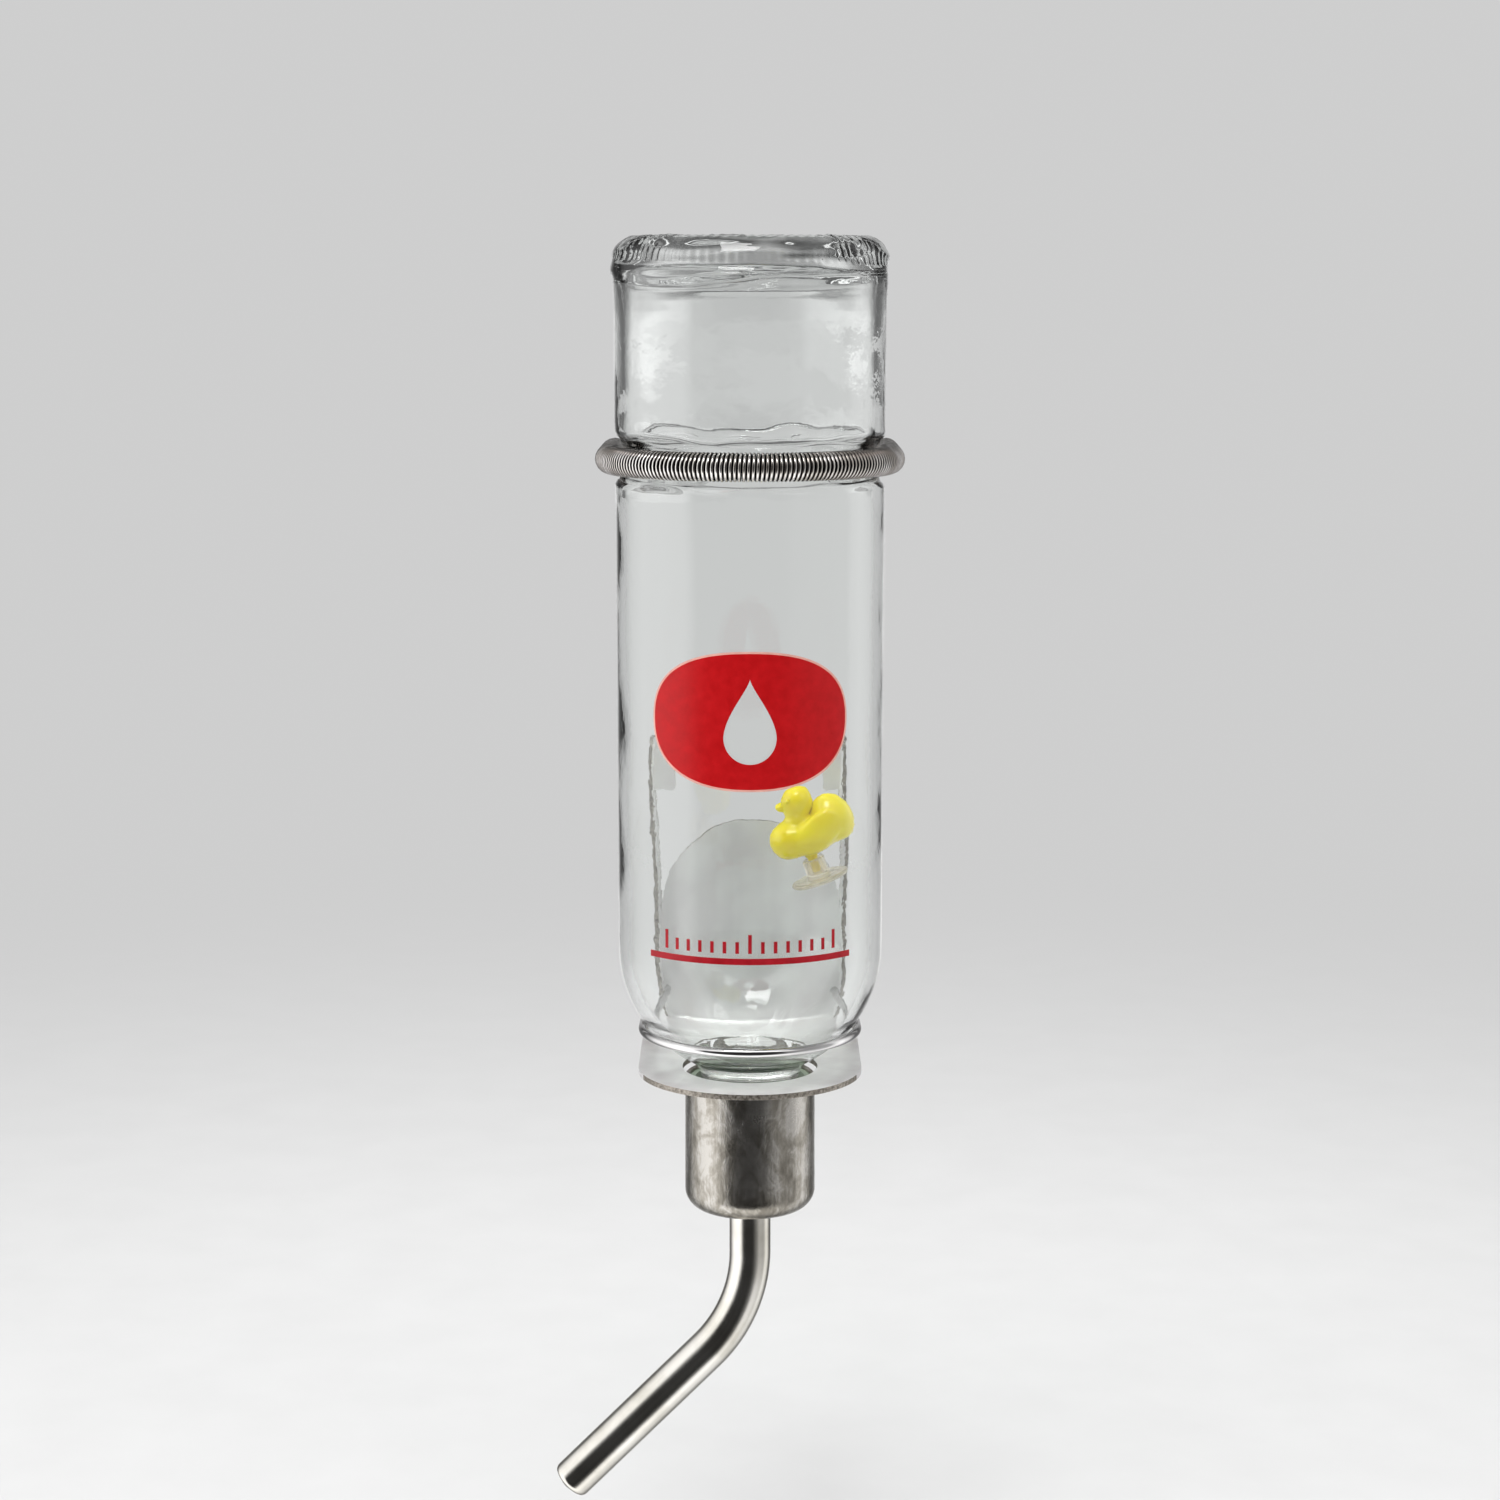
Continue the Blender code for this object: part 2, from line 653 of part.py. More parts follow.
def build_duck(plastic):
    """Moulded duck as its outer solid, with the stem that carries the keel."""
    duck = ellipsoid("duck_float", BODY_SHAPE, material=plastic)
    pieces = [
        ellipsoid("duck_breast", BREAST_SHAPE),
        ellipsoid("duck_neck", NECK_SHAPE),
        ellipsoid("duck_head", HEAD_SHAPE),
        ellipsoid("duck_bill", BILL_SHAPE),
        ellipsoid("duck_tail", TAIL_SHAPE, tilt=TAIL_TILT),
    ]
    stem_profile = [(0.0, STEM_TOP_H), (STEM_R, STEM_TOP_H), (STEM_R, STEM_LOW_H), (0.0, STEM_LOW_H)]
    stem = turned("duck_stem", stem_profile, above_shelf(*DUCK_AT), steps=12)
    stem.rotation_euler = Euler((0, DUCK_LEAN, 0))
    for piece in [*pieces, stem]:
        boolean(duck, piece, "UNION")
    return duck


def build_keel(plastic):
    """Clear disc with a socket for the stem, which keeps the duck upright."""
    half = KEEL_THICK / 2
    bore = STEM_R + RUNNING_GAP
    profile = [
        (KEEL_HUB_R, KEEL_HUB_H),
        (KEEL_HUB_R, half),
        (KEEL_R - half * 0.6, half),
        (KEEL_R, 0.0),
        (KEEL_R - half * 0.6, -half),
        (0.0, -half),
    ]
    socket = [(0.0, STEM_LOW_H - RUNNING_GAP), (bore, STEM_LOW_H - RUNNING_GAP), (bore, KEEL_HUB_H)]
    keel = turned("float_keel", socket + profile, above_shelf(*DUCK_AT), plastic, steps=24)
    keel.rotation_euler = Euler((0, DUCK_LEAN, 0))
    return keel


# ---------------------------------------------------------------- assembly


def main():
    plate_steel = make_material("plate_steel", (0.78, 0.78, 0.80), 0.16, 1.0)
    wire_steel = make_material("wire_steel", (0.72, 0.72, 0.73), 0.18, 1.0)
    satin_steel = make_material("satin_steel", (0.56, 0.53, 0.49), 0.32, 1.0)
    tube_steel = make_material("tube_steel", (0.74, 0.72, 0.69), 0.14, 1.0)
    glass = make_material("bottle_glass", (0.93, 0.97, 0.95), 0.03, 0.0, 0.35, 0.9)
    white_plastic = make_material("white_plastic", (0.86, 0.86, 0.84), 0.45)
    rubber = make_material("rubber", (0.42, 0.41, 0.40), 0.75)
    yellow = make_material("duck_yellow", (0.90, 0.80, 0.08), 0.35)
    clear = make_material("clear_plastic", (0.85, 0.80, 0.66), 0.2, 0.0, 0.6, 0.6)

    build_hanger(plate_steel)
    build_cradle(wire_steel)
    build_bottle(glass)
    build_spring(wire_steel)
    build_cap_shell(satin_steel)
    build_thread_insert(white_plastic)
    build_gasket(rubber)
    build_grommet(rubber)
    build_tube(tube_steel)
    build_ball("tip_ball", BALL_SEAT_DEPTH, tube_steel)
    build_ball("upper_ball", BALL_SEAT_DEPTH + 2 * BALL_R + RUNNING_GAP, tube_steel)
    build_duck(yellow)
    build_keel(clear)


main()
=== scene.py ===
"""Looks of the hanging glass water bottle: fine meshes, materials, light and camera.

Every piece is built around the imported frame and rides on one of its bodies.
Lengths are metres. Heights (h) are measured from the top of the hanger's shelf,
and plan positions from the bottle's axis, as in the frame's own design.
"""

import math

import bmesh
import bpy
from mathutils import Matrix, Vector, noise


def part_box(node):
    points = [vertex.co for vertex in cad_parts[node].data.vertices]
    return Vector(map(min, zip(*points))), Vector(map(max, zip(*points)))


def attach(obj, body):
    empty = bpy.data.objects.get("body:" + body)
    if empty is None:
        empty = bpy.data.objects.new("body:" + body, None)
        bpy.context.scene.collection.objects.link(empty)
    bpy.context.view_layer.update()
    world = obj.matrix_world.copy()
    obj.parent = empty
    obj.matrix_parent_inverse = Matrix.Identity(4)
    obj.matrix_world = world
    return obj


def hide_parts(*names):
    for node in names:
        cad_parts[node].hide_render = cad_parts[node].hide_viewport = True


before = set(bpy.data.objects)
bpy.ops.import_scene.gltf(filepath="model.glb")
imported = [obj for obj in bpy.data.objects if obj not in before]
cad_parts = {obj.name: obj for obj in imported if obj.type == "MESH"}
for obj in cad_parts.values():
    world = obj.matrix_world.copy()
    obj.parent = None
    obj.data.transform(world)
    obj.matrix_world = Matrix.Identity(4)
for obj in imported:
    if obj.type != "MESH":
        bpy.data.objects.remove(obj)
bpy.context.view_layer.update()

# ---------------- places from the frame

BOTTLE_LOW, BOTTLE_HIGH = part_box("glass_bottle")
HANGER_LOW, HANGER_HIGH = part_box("hanger_bracket")
CAP_LOW, CAP_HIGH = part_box("cap_shell")
TUBE_LOW, TUBE_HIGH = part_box("drinking_tube")
COIL_LOW, COIL_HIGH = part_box("coil_spring")
CRADLE_LOW, CRADLE_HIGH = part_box("cradle_wire")
BALL_LOW, BALL_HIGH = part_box("tip_ball")
UPPER_BALL_LOW, UPPER_BALL_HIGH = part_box("upper_ball")

SHEET = 0.0012
SHELF_Z = HANGER_LOW.z + SHEET
AXIS_X = (BOTTLE_LOW.x + BOTTLE_HIGH.x) / 2
AXIS_Y = (BOTTLE_LOW.y + BOTTLE_HIGH.y) / 2


def place(x, y, h):
    """World point from the bottle's axis and the shelf's top."""
    return Vector((AXIS_X + x, AXIS_Y + y, SHELF_Z + h))


BOTTLE_STAND = Matrix.Translation(place(0.0, 0.0, 0.0))
POLE_R = 1e-6

# Glass bottle
HEEL_R = (BOTTLE_HIGH.x - BOTTLE_LOW.x) / 2
UPPER_R = HEEL_R - 0.0004
BODY_R = HEEL_R - 0.0006
WALL = 0.0024
BASE_TOP_H = BOTTLE_HIGH.z - SHELF_Z
MOUTH_H = BOTTLE_LOW.z - SHELF_Z
HEEL_ROUND = 0.0056
PUSH_UP = 0.0024
# Share of the base panel's radius and of the push-up's depth, from the middle outwards
PUSH_UP_SHAPE = [
    (0.00, 1.00), (0.30, 0.98), (0.55, 0.90), (0.75, 0.74), (0.90, 0.52), (1.00, 0.36), (1.06, 0.14),
]
BASE_PANEL_R = 0.0205
FLOOR_H = BASE_TOP_H - 0.0030
FLOOR_CORNER = 0.0074
HEEL_FOOT_H = BASE_TOP_H - 0.0104
COIL_H = (COIL_LOW.z + COIL_HIGH.z) / 2 - SHELF_Z
GROOVE_R = 0.0277
GROOVE_HALF = 0.00495
SHOULDER_H = 0.02835
NECK_R = 0.0112
NECK_BORE_R = 0.0092
PITCH = 0.00318
THREAD_LOW_H = -0.0145
THREAD_TURNS = 1.5
THREAD_R = 0.0010
THREAD_HALF = 0.0011
CRESCENTS = 72
BOTTLE_STEPS = 288
PRINT_LOW = 0.00005
PRINT_HIGH = 0.00010

# Tube
TUBE_R = 0.00475
TUBE_WALL = 0.0007
TUBE_SIDES = 64
FLARE_R = 0.0076
TIP_OPENING_R = 0.0034
TUBE_TOP_H = TUBE_HIGH.z - SHELF_Z
BEND_TOP_H = -0.0438
BEND_R = 0.0340
BEND_ANGLE = math.radians(45)
LOWER_LENGTH = 0.0453
LOWER_AXIS = Vector((-math.sin(BEND_ANGLE), 0.0, -math.cos(BEND_ANGLE)))

# Spring
COIL_R = 0.003175
COIL_PATH_R = (COIL_HIGH.x - COIL_LOW.x) / 2 - COIL_R
COIL_LEG_END_Y = 0.0262
SPRING_WIRE_R = 0.00043
SPRING_PITCH = 0.000905


# ---------------- mesh helpers


def add_object(name, data):
    """New object in the scene for some data."""
    obj = bpy.data.objects.new(name, data)
    bpy.context.scene.collection.objects.link(obj)
    return obj


def mesh_of(name, shape):
    """Mesh made from a bmesh, which is freed."""
    mesh = bpy.data.meshes.new(name)
    shape.to_mesh(mesh)
    shape.free()
    return mesh


def baked(obj):
    """The object's mesh with its modifiers applied."""
    bpy.context.view_layer.update()
    graph = bpy.context.evaluated_depsgraph_get()
    return bpy.data.meshes.new_from_object(obj.evaluated_get(graph))


def round_edges(obj, width, segments, angle):
    """Bevel modifier for the edges sharper than an angle in degrees."""
    edge = obj.modifiers.new("edge", "BEVEL")
    edge.width = width
    edge.segments = segments
    edge.limit_method = "ANGLE"
    edge.angle_limit = math.radians(angle)


def shade(mesh, sharp_angle):
    """Smooth shading, with sharp edges beyond an angle in degrees."""
    mesh.shade_smooth()
    mesh.set_sharp_from_angle(angle=math.radians(sharp_angle))


def finish_mesh(name, shape, material, body, sharp_angle, node=None):
    """Turn a bmesh into a piece that rides on a body and may stand for a node of the frame."""
    bmesh.ops.recalc_face_normals(shape, faces=shape.faces)
    mesh = mesh_of(name, shape)
    mesh.materials.append(material)
    shade(mesh, sharp_angle)
    piece = add_object(name, mesh)
    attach(piece, body)
    if node:
        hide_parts(node)
    return piece


def around(count):
    """(cosine, sine) of evenly spaced directions, starting along the first axis."""
    turns = [2 * math.pi * i / count for i in range(count)]
    return [(math.cos(angle), math.sin(angle)) for angle in turns]


def ring_noise(angle, reach, height):
    """Smooth noise on a circle, so that it closes on itself round the axis."""
    return noise.noise(Vector((math.cos(angle) * reach, math.sin(angle) * reach, height)))


def skin(shape, rings, closed_rings=True, closed_path=False, cap_ends=False):
    """Quads between rings of points; a ring with one point is a pole."""
    made = [[shape.verts.new(point) for point in ring] for ring in rings]
    pairs = list(zip(made, made[1:]))
    if closed_path:
        pairs.append((made[-1], made[0]))
    for first, second in pairs:
        count = max(len(first), len(second))
        last = count if closed_rings else count - 1
        for i in range(last):
            j = (i + 1) % count
            if len(first) == 1:
                shape.faces.new((first[0], second[i], second[j]))
            elif len(second) == 1:
                shape.faces.new((first[i], second[0], first[j]))
            else:
                shape.faces.new((first[i], second[i], second[j], first[j]))
    if cap_ends:
        shape.faces.new(list(reversed(made[0])))
        shape.faces.new(made[-1])
    return made


def turned(profile, steps, stand, ripple=None):
    """Rings of a (radius, height) profile turned about a stand's +Z axis.

    ripple(angle, r, h) gives what is added to a point's radius and height.
    """
    rings = []
    for r, h in profile:
        if r < POLE_R:
            rings.append([stand @ Vector((0.0, 0.0, h))])
            continue
        ring = []
        for i, (c, s) in enumerate(around(steps)):
            dr, dh = ripple(2 * math.pi * i / steps, r, h) if ripple else (0.0, 0.0)
            ring.append(stand @ Vector(((r + dr) * c, (r + dr) * s, h + dh)))
        rings.append(ring)
    return rings


def arc(centre, radius, start, end, count):
    """Points on an arc in the (radius, height) plane; angles in degrees."""
    points = []
    for i in range(count + 1):
        angle = math.radians(start + (end - start) * i / count)
        x = centre[0] + radius * math.cos(angle)
        points.append((x, centre[1] + radius * math.sin(angle)))
    return points


def between(start, end, share):
    """Point on the line from start to end, in the plane."""
    return tuple(a + (b - a) * share for a, b in zip(start, end))


def refine(profile, longest):
    """Add points so that no straight run of the profile is longer than this."""
    points = [profile[0]]
    for start, end in zip(profile, profile[1:]):
        length = math.dist(start, end)
        count = max(1, math.ceil(length / longest))
        for i in range(1, count + 1):
            share = i / count
            points.append(between(start, end, share))
    return points


def sweep_rings(centres, radii, sides, up=Vector((0, 0, 1))):
    """Rings of points round a path, carried along it without twisting."""
    rings = []
    tangent = (centres[1] - centres[0]).normalized()
    side = tangent.cross(up)
    if side.length < 1e-4:
        side = tangent.cross(Vector((0, 1, 0)))
    side.normalize()
    for i, centre in enumerate(centres):
        ahead = centres[min(i + 1, len(centres) - 1)]
        behind = centres[max(i - 1, 0)]
        turned = (ahead - behind).normalized()
        side = tangent.rotation_difference(turned) @ side
        tangent = turned
        other = tangent.cross(side)
        rings.append([centre + radii[i] * (c * side + s * other) for c, s in around(sides)])
    return rings


def rounded_wire(centres, radius, sides):
    """Rings for a wire with rounded ends."""
    radii = [radius] * len(centres)
    first = (centres[0] - centres[1]).normalized()
    last = (centres[-1] - centres[-2]).normalized()
    front = [centres[0] + first * radius * k for k in (0.35, 0.2)]
    back = [centres[-1] + last * radius * k for k in (0.2, 0.35)]
    path = front + list(centres) + back
    widths = [radius * 0.55, radius * 0.85] + radii + [radius * 0.85, radius * 0.55]
    return sweep_rings(path, widths, sides)


# ---------------- material helpers


class Nodes:
    """Short hand for building a material's node tree."""

    def __init__(self, name, **values):
        self.material = bpy.data.materials.new(name)
        self.material.use_nodes = True
        self.tree = self.material.node_tree
        self.shader = self.tree.nodes["Principled BSDF"]
        self.output = self.tree.nodes["Material Output"]
        self.set(**values)

    def add(self, kind, **settings):
        node = self.tree.nodes.new(kind)
        for key, value in settings.items():
            setattr(node, key, value)
        return node

    def link(self, start, end):
        self.tree.links.new(start, end)

    def set(self, **values):
        for key, value in values.items():
            self.shader.inputs[key.replace("_", " ")].default_value = value

    def coordinates(self, scale=(1, 1, 1)):
        """Object coordinates, scaled."""
        source = self.add("ShaderNodeTexCoord")
        mapping = self.add("ShaderNodeMapping")
        mapping.inputs["Scale"].default_value = scale
        self.link(source.outputs["Object"], mapping.inputs["Vector"])
        return mapping.outputs["Vector"]

    def noise(self, vector, scale, detail=4.0, roughness=0.5, distortion=0.0):
        node = self.add("ShaderNodeTexNoise")
        node.inputs["Scale"].default_value = scale
        node.inputs["Detail"].default_value = detail
        node.inputs["Roughness"].default_value = roughness
        node.inputs["Distortion"].default_value = distortion
        self.link(vector, node.inputs["Vector"])
        return node.outputs["Fac"]

    def ramp(self, value, stops):
        """Colour ramp; stops are (position, colour)."""
        node = self.add("ShaderNodeValToRGB")
        elements = node.color_ramp.elements
        while len(elements) < len(stops):
            elements.new(0.5)
        for element, (position, colour) in zip(elements, stops):
            element.position = position
            element.color = (*colour, 1.0)
        self.link(value, node.inputs["Fac"])
        return node.outputs["Color"]

    def attribute(self, name, output="Fac"):
        return self.add("ShaderNodeAttribute", attribute_name=name).outputs[output]

    def blend(self, a, b, factor, how="MIX"):
        """Mix of two colours by a socket's factor, or all of the mix without one."""
        node = self.add("ShaderNodeMix", data_type="RGBA", blend_type=how)
        node.inputs["Factor"].default_value = 1.0
        if factor:
            self.link(factor, node.inputs["Factor"])
        self.link(a, node.inputs["A"])
        self.link(b, node.inputs["B"])
        return node.outputs["Result"]

    def paint(self, colour):
        self.link(colour, self.shader.inputs["Base Color"])

    def rough(self, value, low, high):
        """Roughness that runs from low to high as the value goes from 0 to 1."""
        node = self.add("ShaderNodeMapRange")
        node.inputs["To Min"].default_value = low
        node.inputs["To Max"].default_value = high
        self.link(value, node.inputs["Value"])
        self.link(node.outputs["Result"], self.shader.inputs["Roughness"])

    def mix(self, a, b, share):
        node = self.add("ShaderNodeMath", operation="MULTIPLY_ADD")
        self.link(a, node.inputs[0])
        node.inputs[1].default_value = share
        self.link(b, node.inputs[2])
        return node.outputs["Value"]

    def bump(self, height, strength, distance):
        node = self.add("ShaderNodeBump")
        node.inputs["Strength"].default_value = strength
        node.inputs["Distance"].default_value = distance
        self.link(height, node.inputs["Height"])
        self.link(node.outputs["Normal"], self.shader.inputs["Normal"])

    def cover(self, shader, share):
        """Put another shader over this one, by a share."""
        node = self.add("ShaderNodeMixShader")
        self.link(share, node.inputs["Fac"])
        self.link(self.shader.outputs["BSDF"], node.inputs[1])
        self.link(shader, node.inputs[2])
        self.link(node.outputs["Shader"], self.output.inputs["Surface"])


def see_through(nodes, tint):
    """Let light for shadows pass straight through a clear material, slightly tinted."""
    path = nodes.add("ShaderNodeLightPath")
    clear = nodes.add("ShaderNodeBsdfTransparent")
    clear.inputs["Color"].default_value = (*tint, 1.0)
    either = nodes.add("ShaderNodeMath", operation="MAXIMUM")
    nodes.link(path.outputs["Is Shadow Ray"], either.inputs[0])
    nodes.link(path.outputs["Is Diffuse Ray"], either.inputs[1])
    nodes.cover(clear.outputs["BSDF"], either.outputs["Value"])


def glass_material():
    """Thick moulded soda glass: clear, a little grey-green in depth, faintly uneven."""
    nodes = Nodes("bottle_glass", Roughness=0.012, IOR=1.5, Transmission_Weight=1.0)
    nodes.set(Base_Color=(0.985, 0.995, 0.99, 1))
    vector = nodes.coordinates()
    broad = nodes.noise(vector, 38.0, 2.0)
    fine = nodes.noise(vector, 210.0, 3.0)
    nodes.bump(nodes.mix(fine, broad, 0.25), 0.10, 0.0012)
    depth = nodes.add("ShaderNodeVolumeAbsorption")
    depth.inputs["Color"].default_value = (0.66, 0.74, 0.69, 1)
    depth.inputs["Density"].default_value = 9.0
    nodes.link(depth.outputs["Volume"], nodes.output.inputs["Volume"])
    see_through(nodes, (0.95, 0.97, 0.96))
    return nodes.material


def rolled_sheet():
    """Plated sheet: bright satin with fine scratches across and soft clouding, dull cut edges."""
    nodes = Nodes("plate_steel", Metallic=0.70)
    patches = nodes.noise(nodes.coordinates(), 70.0, 4.0)
    bands = nodes.noise(nodes.coordinates((1, 1, 0.06)), 160.0, 3.0)
    cloud = nodes.mix(bands, patches, 0.5)
    scratches = nodes.noise(nodes.coordinates((0.12, 1, 1)), 2200.0, 3.0, 0.6)
    face = nodes.ramp(cloud, [(0.62, (0.84, 0.81, 0.82)), (0.90, (0.97, 0.955, 0.955))])
    grit = nodes.noise(nodes.coordinates(), 1500.0, 4.0, 0.7)
    cut = nodes.ramp(grit, [(0.35, (0.10, 0.085, 0.07)), (0.65, (0.45, 0.41, 0.36))])
    nodes.paint(nodes.blend(face, cut, nodes.attribute("cut_edge")))
    nodes.rough(nodes.mix(scratches, cloud, 0.5), 0.22, 0.46)
    nodes.bump(nodes.mix(cloud, scratches, 0.5), 0.06, 0.0003)
    return nodes.material


def bright_wire(name, tone, rough_low, rough_high, grain=900.0):
    """Drawn bright wire with fine marks."""
    nodes = Nodes(name, Metallic=1.0)
    vector = nodes.coordinates()
    marks = nodes.noise(vector, grain, 4.0, 0.6)
    cloud = nodes.noise(vector, 150.0, 2.0)
    dark = tuple(c * 0.86 for c in tone)
    nodes.paint(nodes.ramp(cloud, [(0.35, dark), (0.65, tone)]))
    nodes.rough(marks, rough_low, rough_high)
    nodes.bump(marks, 0.04, 0.0002)
    return nodes.material


def coil_steel():
    """Spring wire: full tone on the outside of each winding, near black in the gaps between
    windings: painted shade, with some grime.
    """
    nodes = Nodes("spring_steel", Metallic=1.0)
    vector = nodes.coordinates()
    marks = nodes.noise(vector, 1100.0, 4.0, 0.6)
    stain = nodes.noise(vector, 170.0, 3.0)
    wire = nodes.ramp(stain, [(0.35, (0.46, 0.43, 0.40)), (0.65, (0.76, 0.74, 0.73))])
    # Painted shade with some grime: the wire darkens towards black where it faces into the gaps
    # between windings.
    stops = [(0.35, (0.03, 0.026, 0.022)), (0.70, (0.13, 0.11, 0.10)), (0.90, (1.0, 1.0, 1.0))]
    gap_shade_and_grime = nodes.ramp(nodes.attribute("outward"), stops)
    nodes.paint(nodes.blend(wire, gap_shade_and_grime, None, "MULTIPLY"))
    nodes.rough(marks, 0.08, 0.24)
    nodes.bump(marks, 0.04, 0.0002)
    return nodes.material


def satin_cap():
    """Deep-drawn satin cup: vertical draw marks, smudges, stains and fine creases."""
    nodes = Nodes("satin_steel", Metallic=0.97)
    draw = nodes.noise(nodes.coordinates((1, 1, 0.05)), 700.0, 4.0, 0.65)
    smudge = nodes.noise(nodes.coordinates((1, 1, 0.6)), 120.0, 5.0, 0.6, 1.2)
    crease = nodes.noise(nodes.coordinates((1, 1, 0.6)), 230.0, 7.0, 0.72, 2.8)
    tones = [(0.70, (0.18, 0.165, 0.14)), (0.86, (0.30, 0.28, 0.245)), (1.00, (0.46, 0.44, 0.41))]
    nodes.paint(nodes.ramp(nodes.mix(draw, nodes.mix(crease, smudge, 0.5), 0.25), tones))
    nodes.rough(nodes.mix(crease, smudge, 0.5), 0.11, 0.28)
    nodes.bump(nodes.mix(draw, crease, 0.6), 0.25, 0.0003)
    return nodes.material


def tube_steel():
    """Polished welded tube: pits, soft waves and fine draw lines along its length."""
    nodes = Nodes("tube_steel", Metallic=1.0)
    vector = nodes.coordinates()
    pits = nodes.noise(vector, 1500.0, 5.0, 0.7)
    cloud = nodes.noise(vector, 90.0, 3.0)
    lines = nodes.noise(nodes.attribute("draw", "Vector"), 1.0, 4.0, 0.7)
    tones = [(0.30, (0.40, 0.38, 0.33)), (0.55, (0.54, 0.52, 0.47)), (0.75, (0.64, 0.62, 0.58))]
    nodes.paint(nodes.ramp(nodes.mix(lines, cloud, 0.3), tones))
    nodes.rough(nodes.mix(pits, cloud, 0.7), 0.03, 0.17)
    nodes.bump(nodes.mix(lines, nodes.mix(cloud, pits, 0.4), 1.4), 0.07, 0.0002)
    return nodes.material


def duck_plastic():
    """Glossy yellow moulded plastic that lets some light in."""
    nodes = Nodes("duck_yellow", Coat_Weight=0.3)
    vector = nodes.coordinates()
    tone = nodes.noise(vector, 160.0, 4.0)
    nodes.paint(nodes.ramp(tone, [(0.3, (0.80, 0.66, 0.005)), (0.7, (0.90, 0.79, 0.015))]))
    nodes.rough(tone, 0.14, 0.28)
    nodes.set(Subsurface_Weight=0.3, Subsurface_Scale=0.002, Subsurface_Radius=(1.0, 0.8, 0.15))
    nodes.bump(nodes.noise(vector, 900.0, 3.0), 0.06, 0.0003)
    return nodes.material


def keel_plastic():
    """Clear plastic, yellowed with age."""
    nodes = Nodes("clear_plastic", Roughness=0.12, IOR=1.46, Transmission_Weight=0.85)
    nodes.set(Base_Color=(0.93, 0.88, 0.76, 1))
    nodes.bump(nodes.noise(nodes.coordinates(), 500.0, 3.0), 0.12, 0.0004)
    see_through(nodes, (0.92, 0.88, 0.78))
    return nodes.material


def moulded(name, low, high, rough_low, rough_high, grain):
    """Opaque moulded plastic or rubber with a fine grain."""
    nodes = Nodes(name)
    vector = nodes.coordinates()
    tone = nodes.noise(vector, 120.0, 4.0)
    nodes.paint(nodes.ramp(tone, [(0.3, low), (0.7, high)]))
    grainy = nodes.noise(vector, grain, 3.0)
    nodes.rough(grainy, rough_low, rough_high)
    nodes.bump(grainy, 0.15, 0.0003)
    return nodes.material


def ink(name, low, high):
    """Screen-printed enamel, slightly uneven in cover."""
    nodes = Nodes(name, Specular_IOR_Level=0.25)
    vector = nodes.coordinates()
    cover = nodes.noise(vector, 420.0, 4.0, 0.6)
    nodes.paint(nodes.ramp(cover, [(0.3, low), (0.7, high)]))
    nodes.rough(cover, 0.22, 0.42)
    nodes.bump(nodes.noise(vector, 1500.0, 2.0), 0.08, 0.0001)
    return nodes.material


# ---------------- bottle


def groove_profile(above, below, bottom):
    """The spring's groove, from its upper lip to its lower lip."""
    high = COIL_H + GROOVE_HALF
    low = COIL_H - GROOVE_HALF
    soft = 0.0019
    points = arc((above - soft, high + soft * 0.7), soft, 0, -62, 6)
    points += arc((bottom + 0.0013, high - 0.0032), 0.0013, 118, 180, 4)
    points += arc((bottom + 0.0013, low + 0.0032), 0.0013, 180, 242, 4)
    points += arc((below - soft, low - soft * 0.7), soft, 62, 0, 6)
    return points


def bottle_profile():
    """Closed run of (radius, height): up the bore, over the floor, down the outside."""
    heel = (HEEL_R - HEEL_ROUND, BASE_TOP_H - HEEL_ROUND)
    panel = [(BASE_PANEL_R * r, -PUSH_UP * depth) for r, depth in PUSH_UP_SHAPE]
    outside = [(r, BASE_TOP_H + sunk) for r, sunk in panel]
    outside += arc(heel, HEEL_ROUND, 90, 0, 16)
    outside += [(HEEL_R, HEEL_FOOT_H + 0.002), (HEEL_R - 0.0001, HEEL_FOOT_H)]
    outside += [(UPPER_R + 0.0001, HEEL_FOOT_H - 0.003), (UPPER_R, HEEL_FOOT_H - 0.006)]
    outside = refine(outside, 0.0007)
    outside += groove_profile(UPPER_R, BODY_R, GROOVE_R)
    fillet = 0.0026
    shoulder = math.degrees(math.asin((NECK_R + fillet * 0.8) / BODY_R)) - 90
    outside += arc((0.0, SHOULDER_H), BODY_R, 0, shoulder, 40)
    root = SHOULDER_H - math.sqrt(BODY_R**2 - NECK_R**2)
    outside += [(NECK_R + 0.0011, root - 0.0002), (NECK_R + 0.0004, root - 0.0012)]
    outside += [(NECK_R, root - 0.0026)]
    outside = refine(outside, 0.0022)
    thread_top = THREAD_LOW_H + PITCH * THREAD_TURNS + THREAD_HALF
    outside += refine([(NECK_R, thread_top), (NECK_R, THREAD_LOW_H - THREAD_HALF)], 0.00026)
    outside += arc((NECK_R - 0.0006, MOUTH_H + 0.0006), 0.0006, 0, -90, 5)
    bore = BODY_R - WALL
    inner_shoulder = math.degrees(math.asin((NECK_BORE_R + 0.0006) / bore)) - 90
    inside = [(NECK_BORE_R, MOUTH_H), (NECK_BORE_R, -0.001), (NECK_BORE_R + 0.0001, 0.0012)]
    inside += arc((0.0, SHOULDER_H), bore, inner_shoulder, 0, 36)
    inside += list(reversed(groove_profile(UPPER_R - WALL, bore, GROOVE_R - WALL)))
    corner = (UPPER_R - WALL - FLOOR_CORNER, FLOOR_H - FLOOR_CORNER)
    inside += arc(corner, FLOOR_CORNER, 0, 90, 10)
    floor = [inside[-1]] + [(r, FLOOR_H + sunk) for r, sunk in reversed(panel)]
    return outside, refine(inside, 0.0022) + refine(floor, 0.0009)[1:]


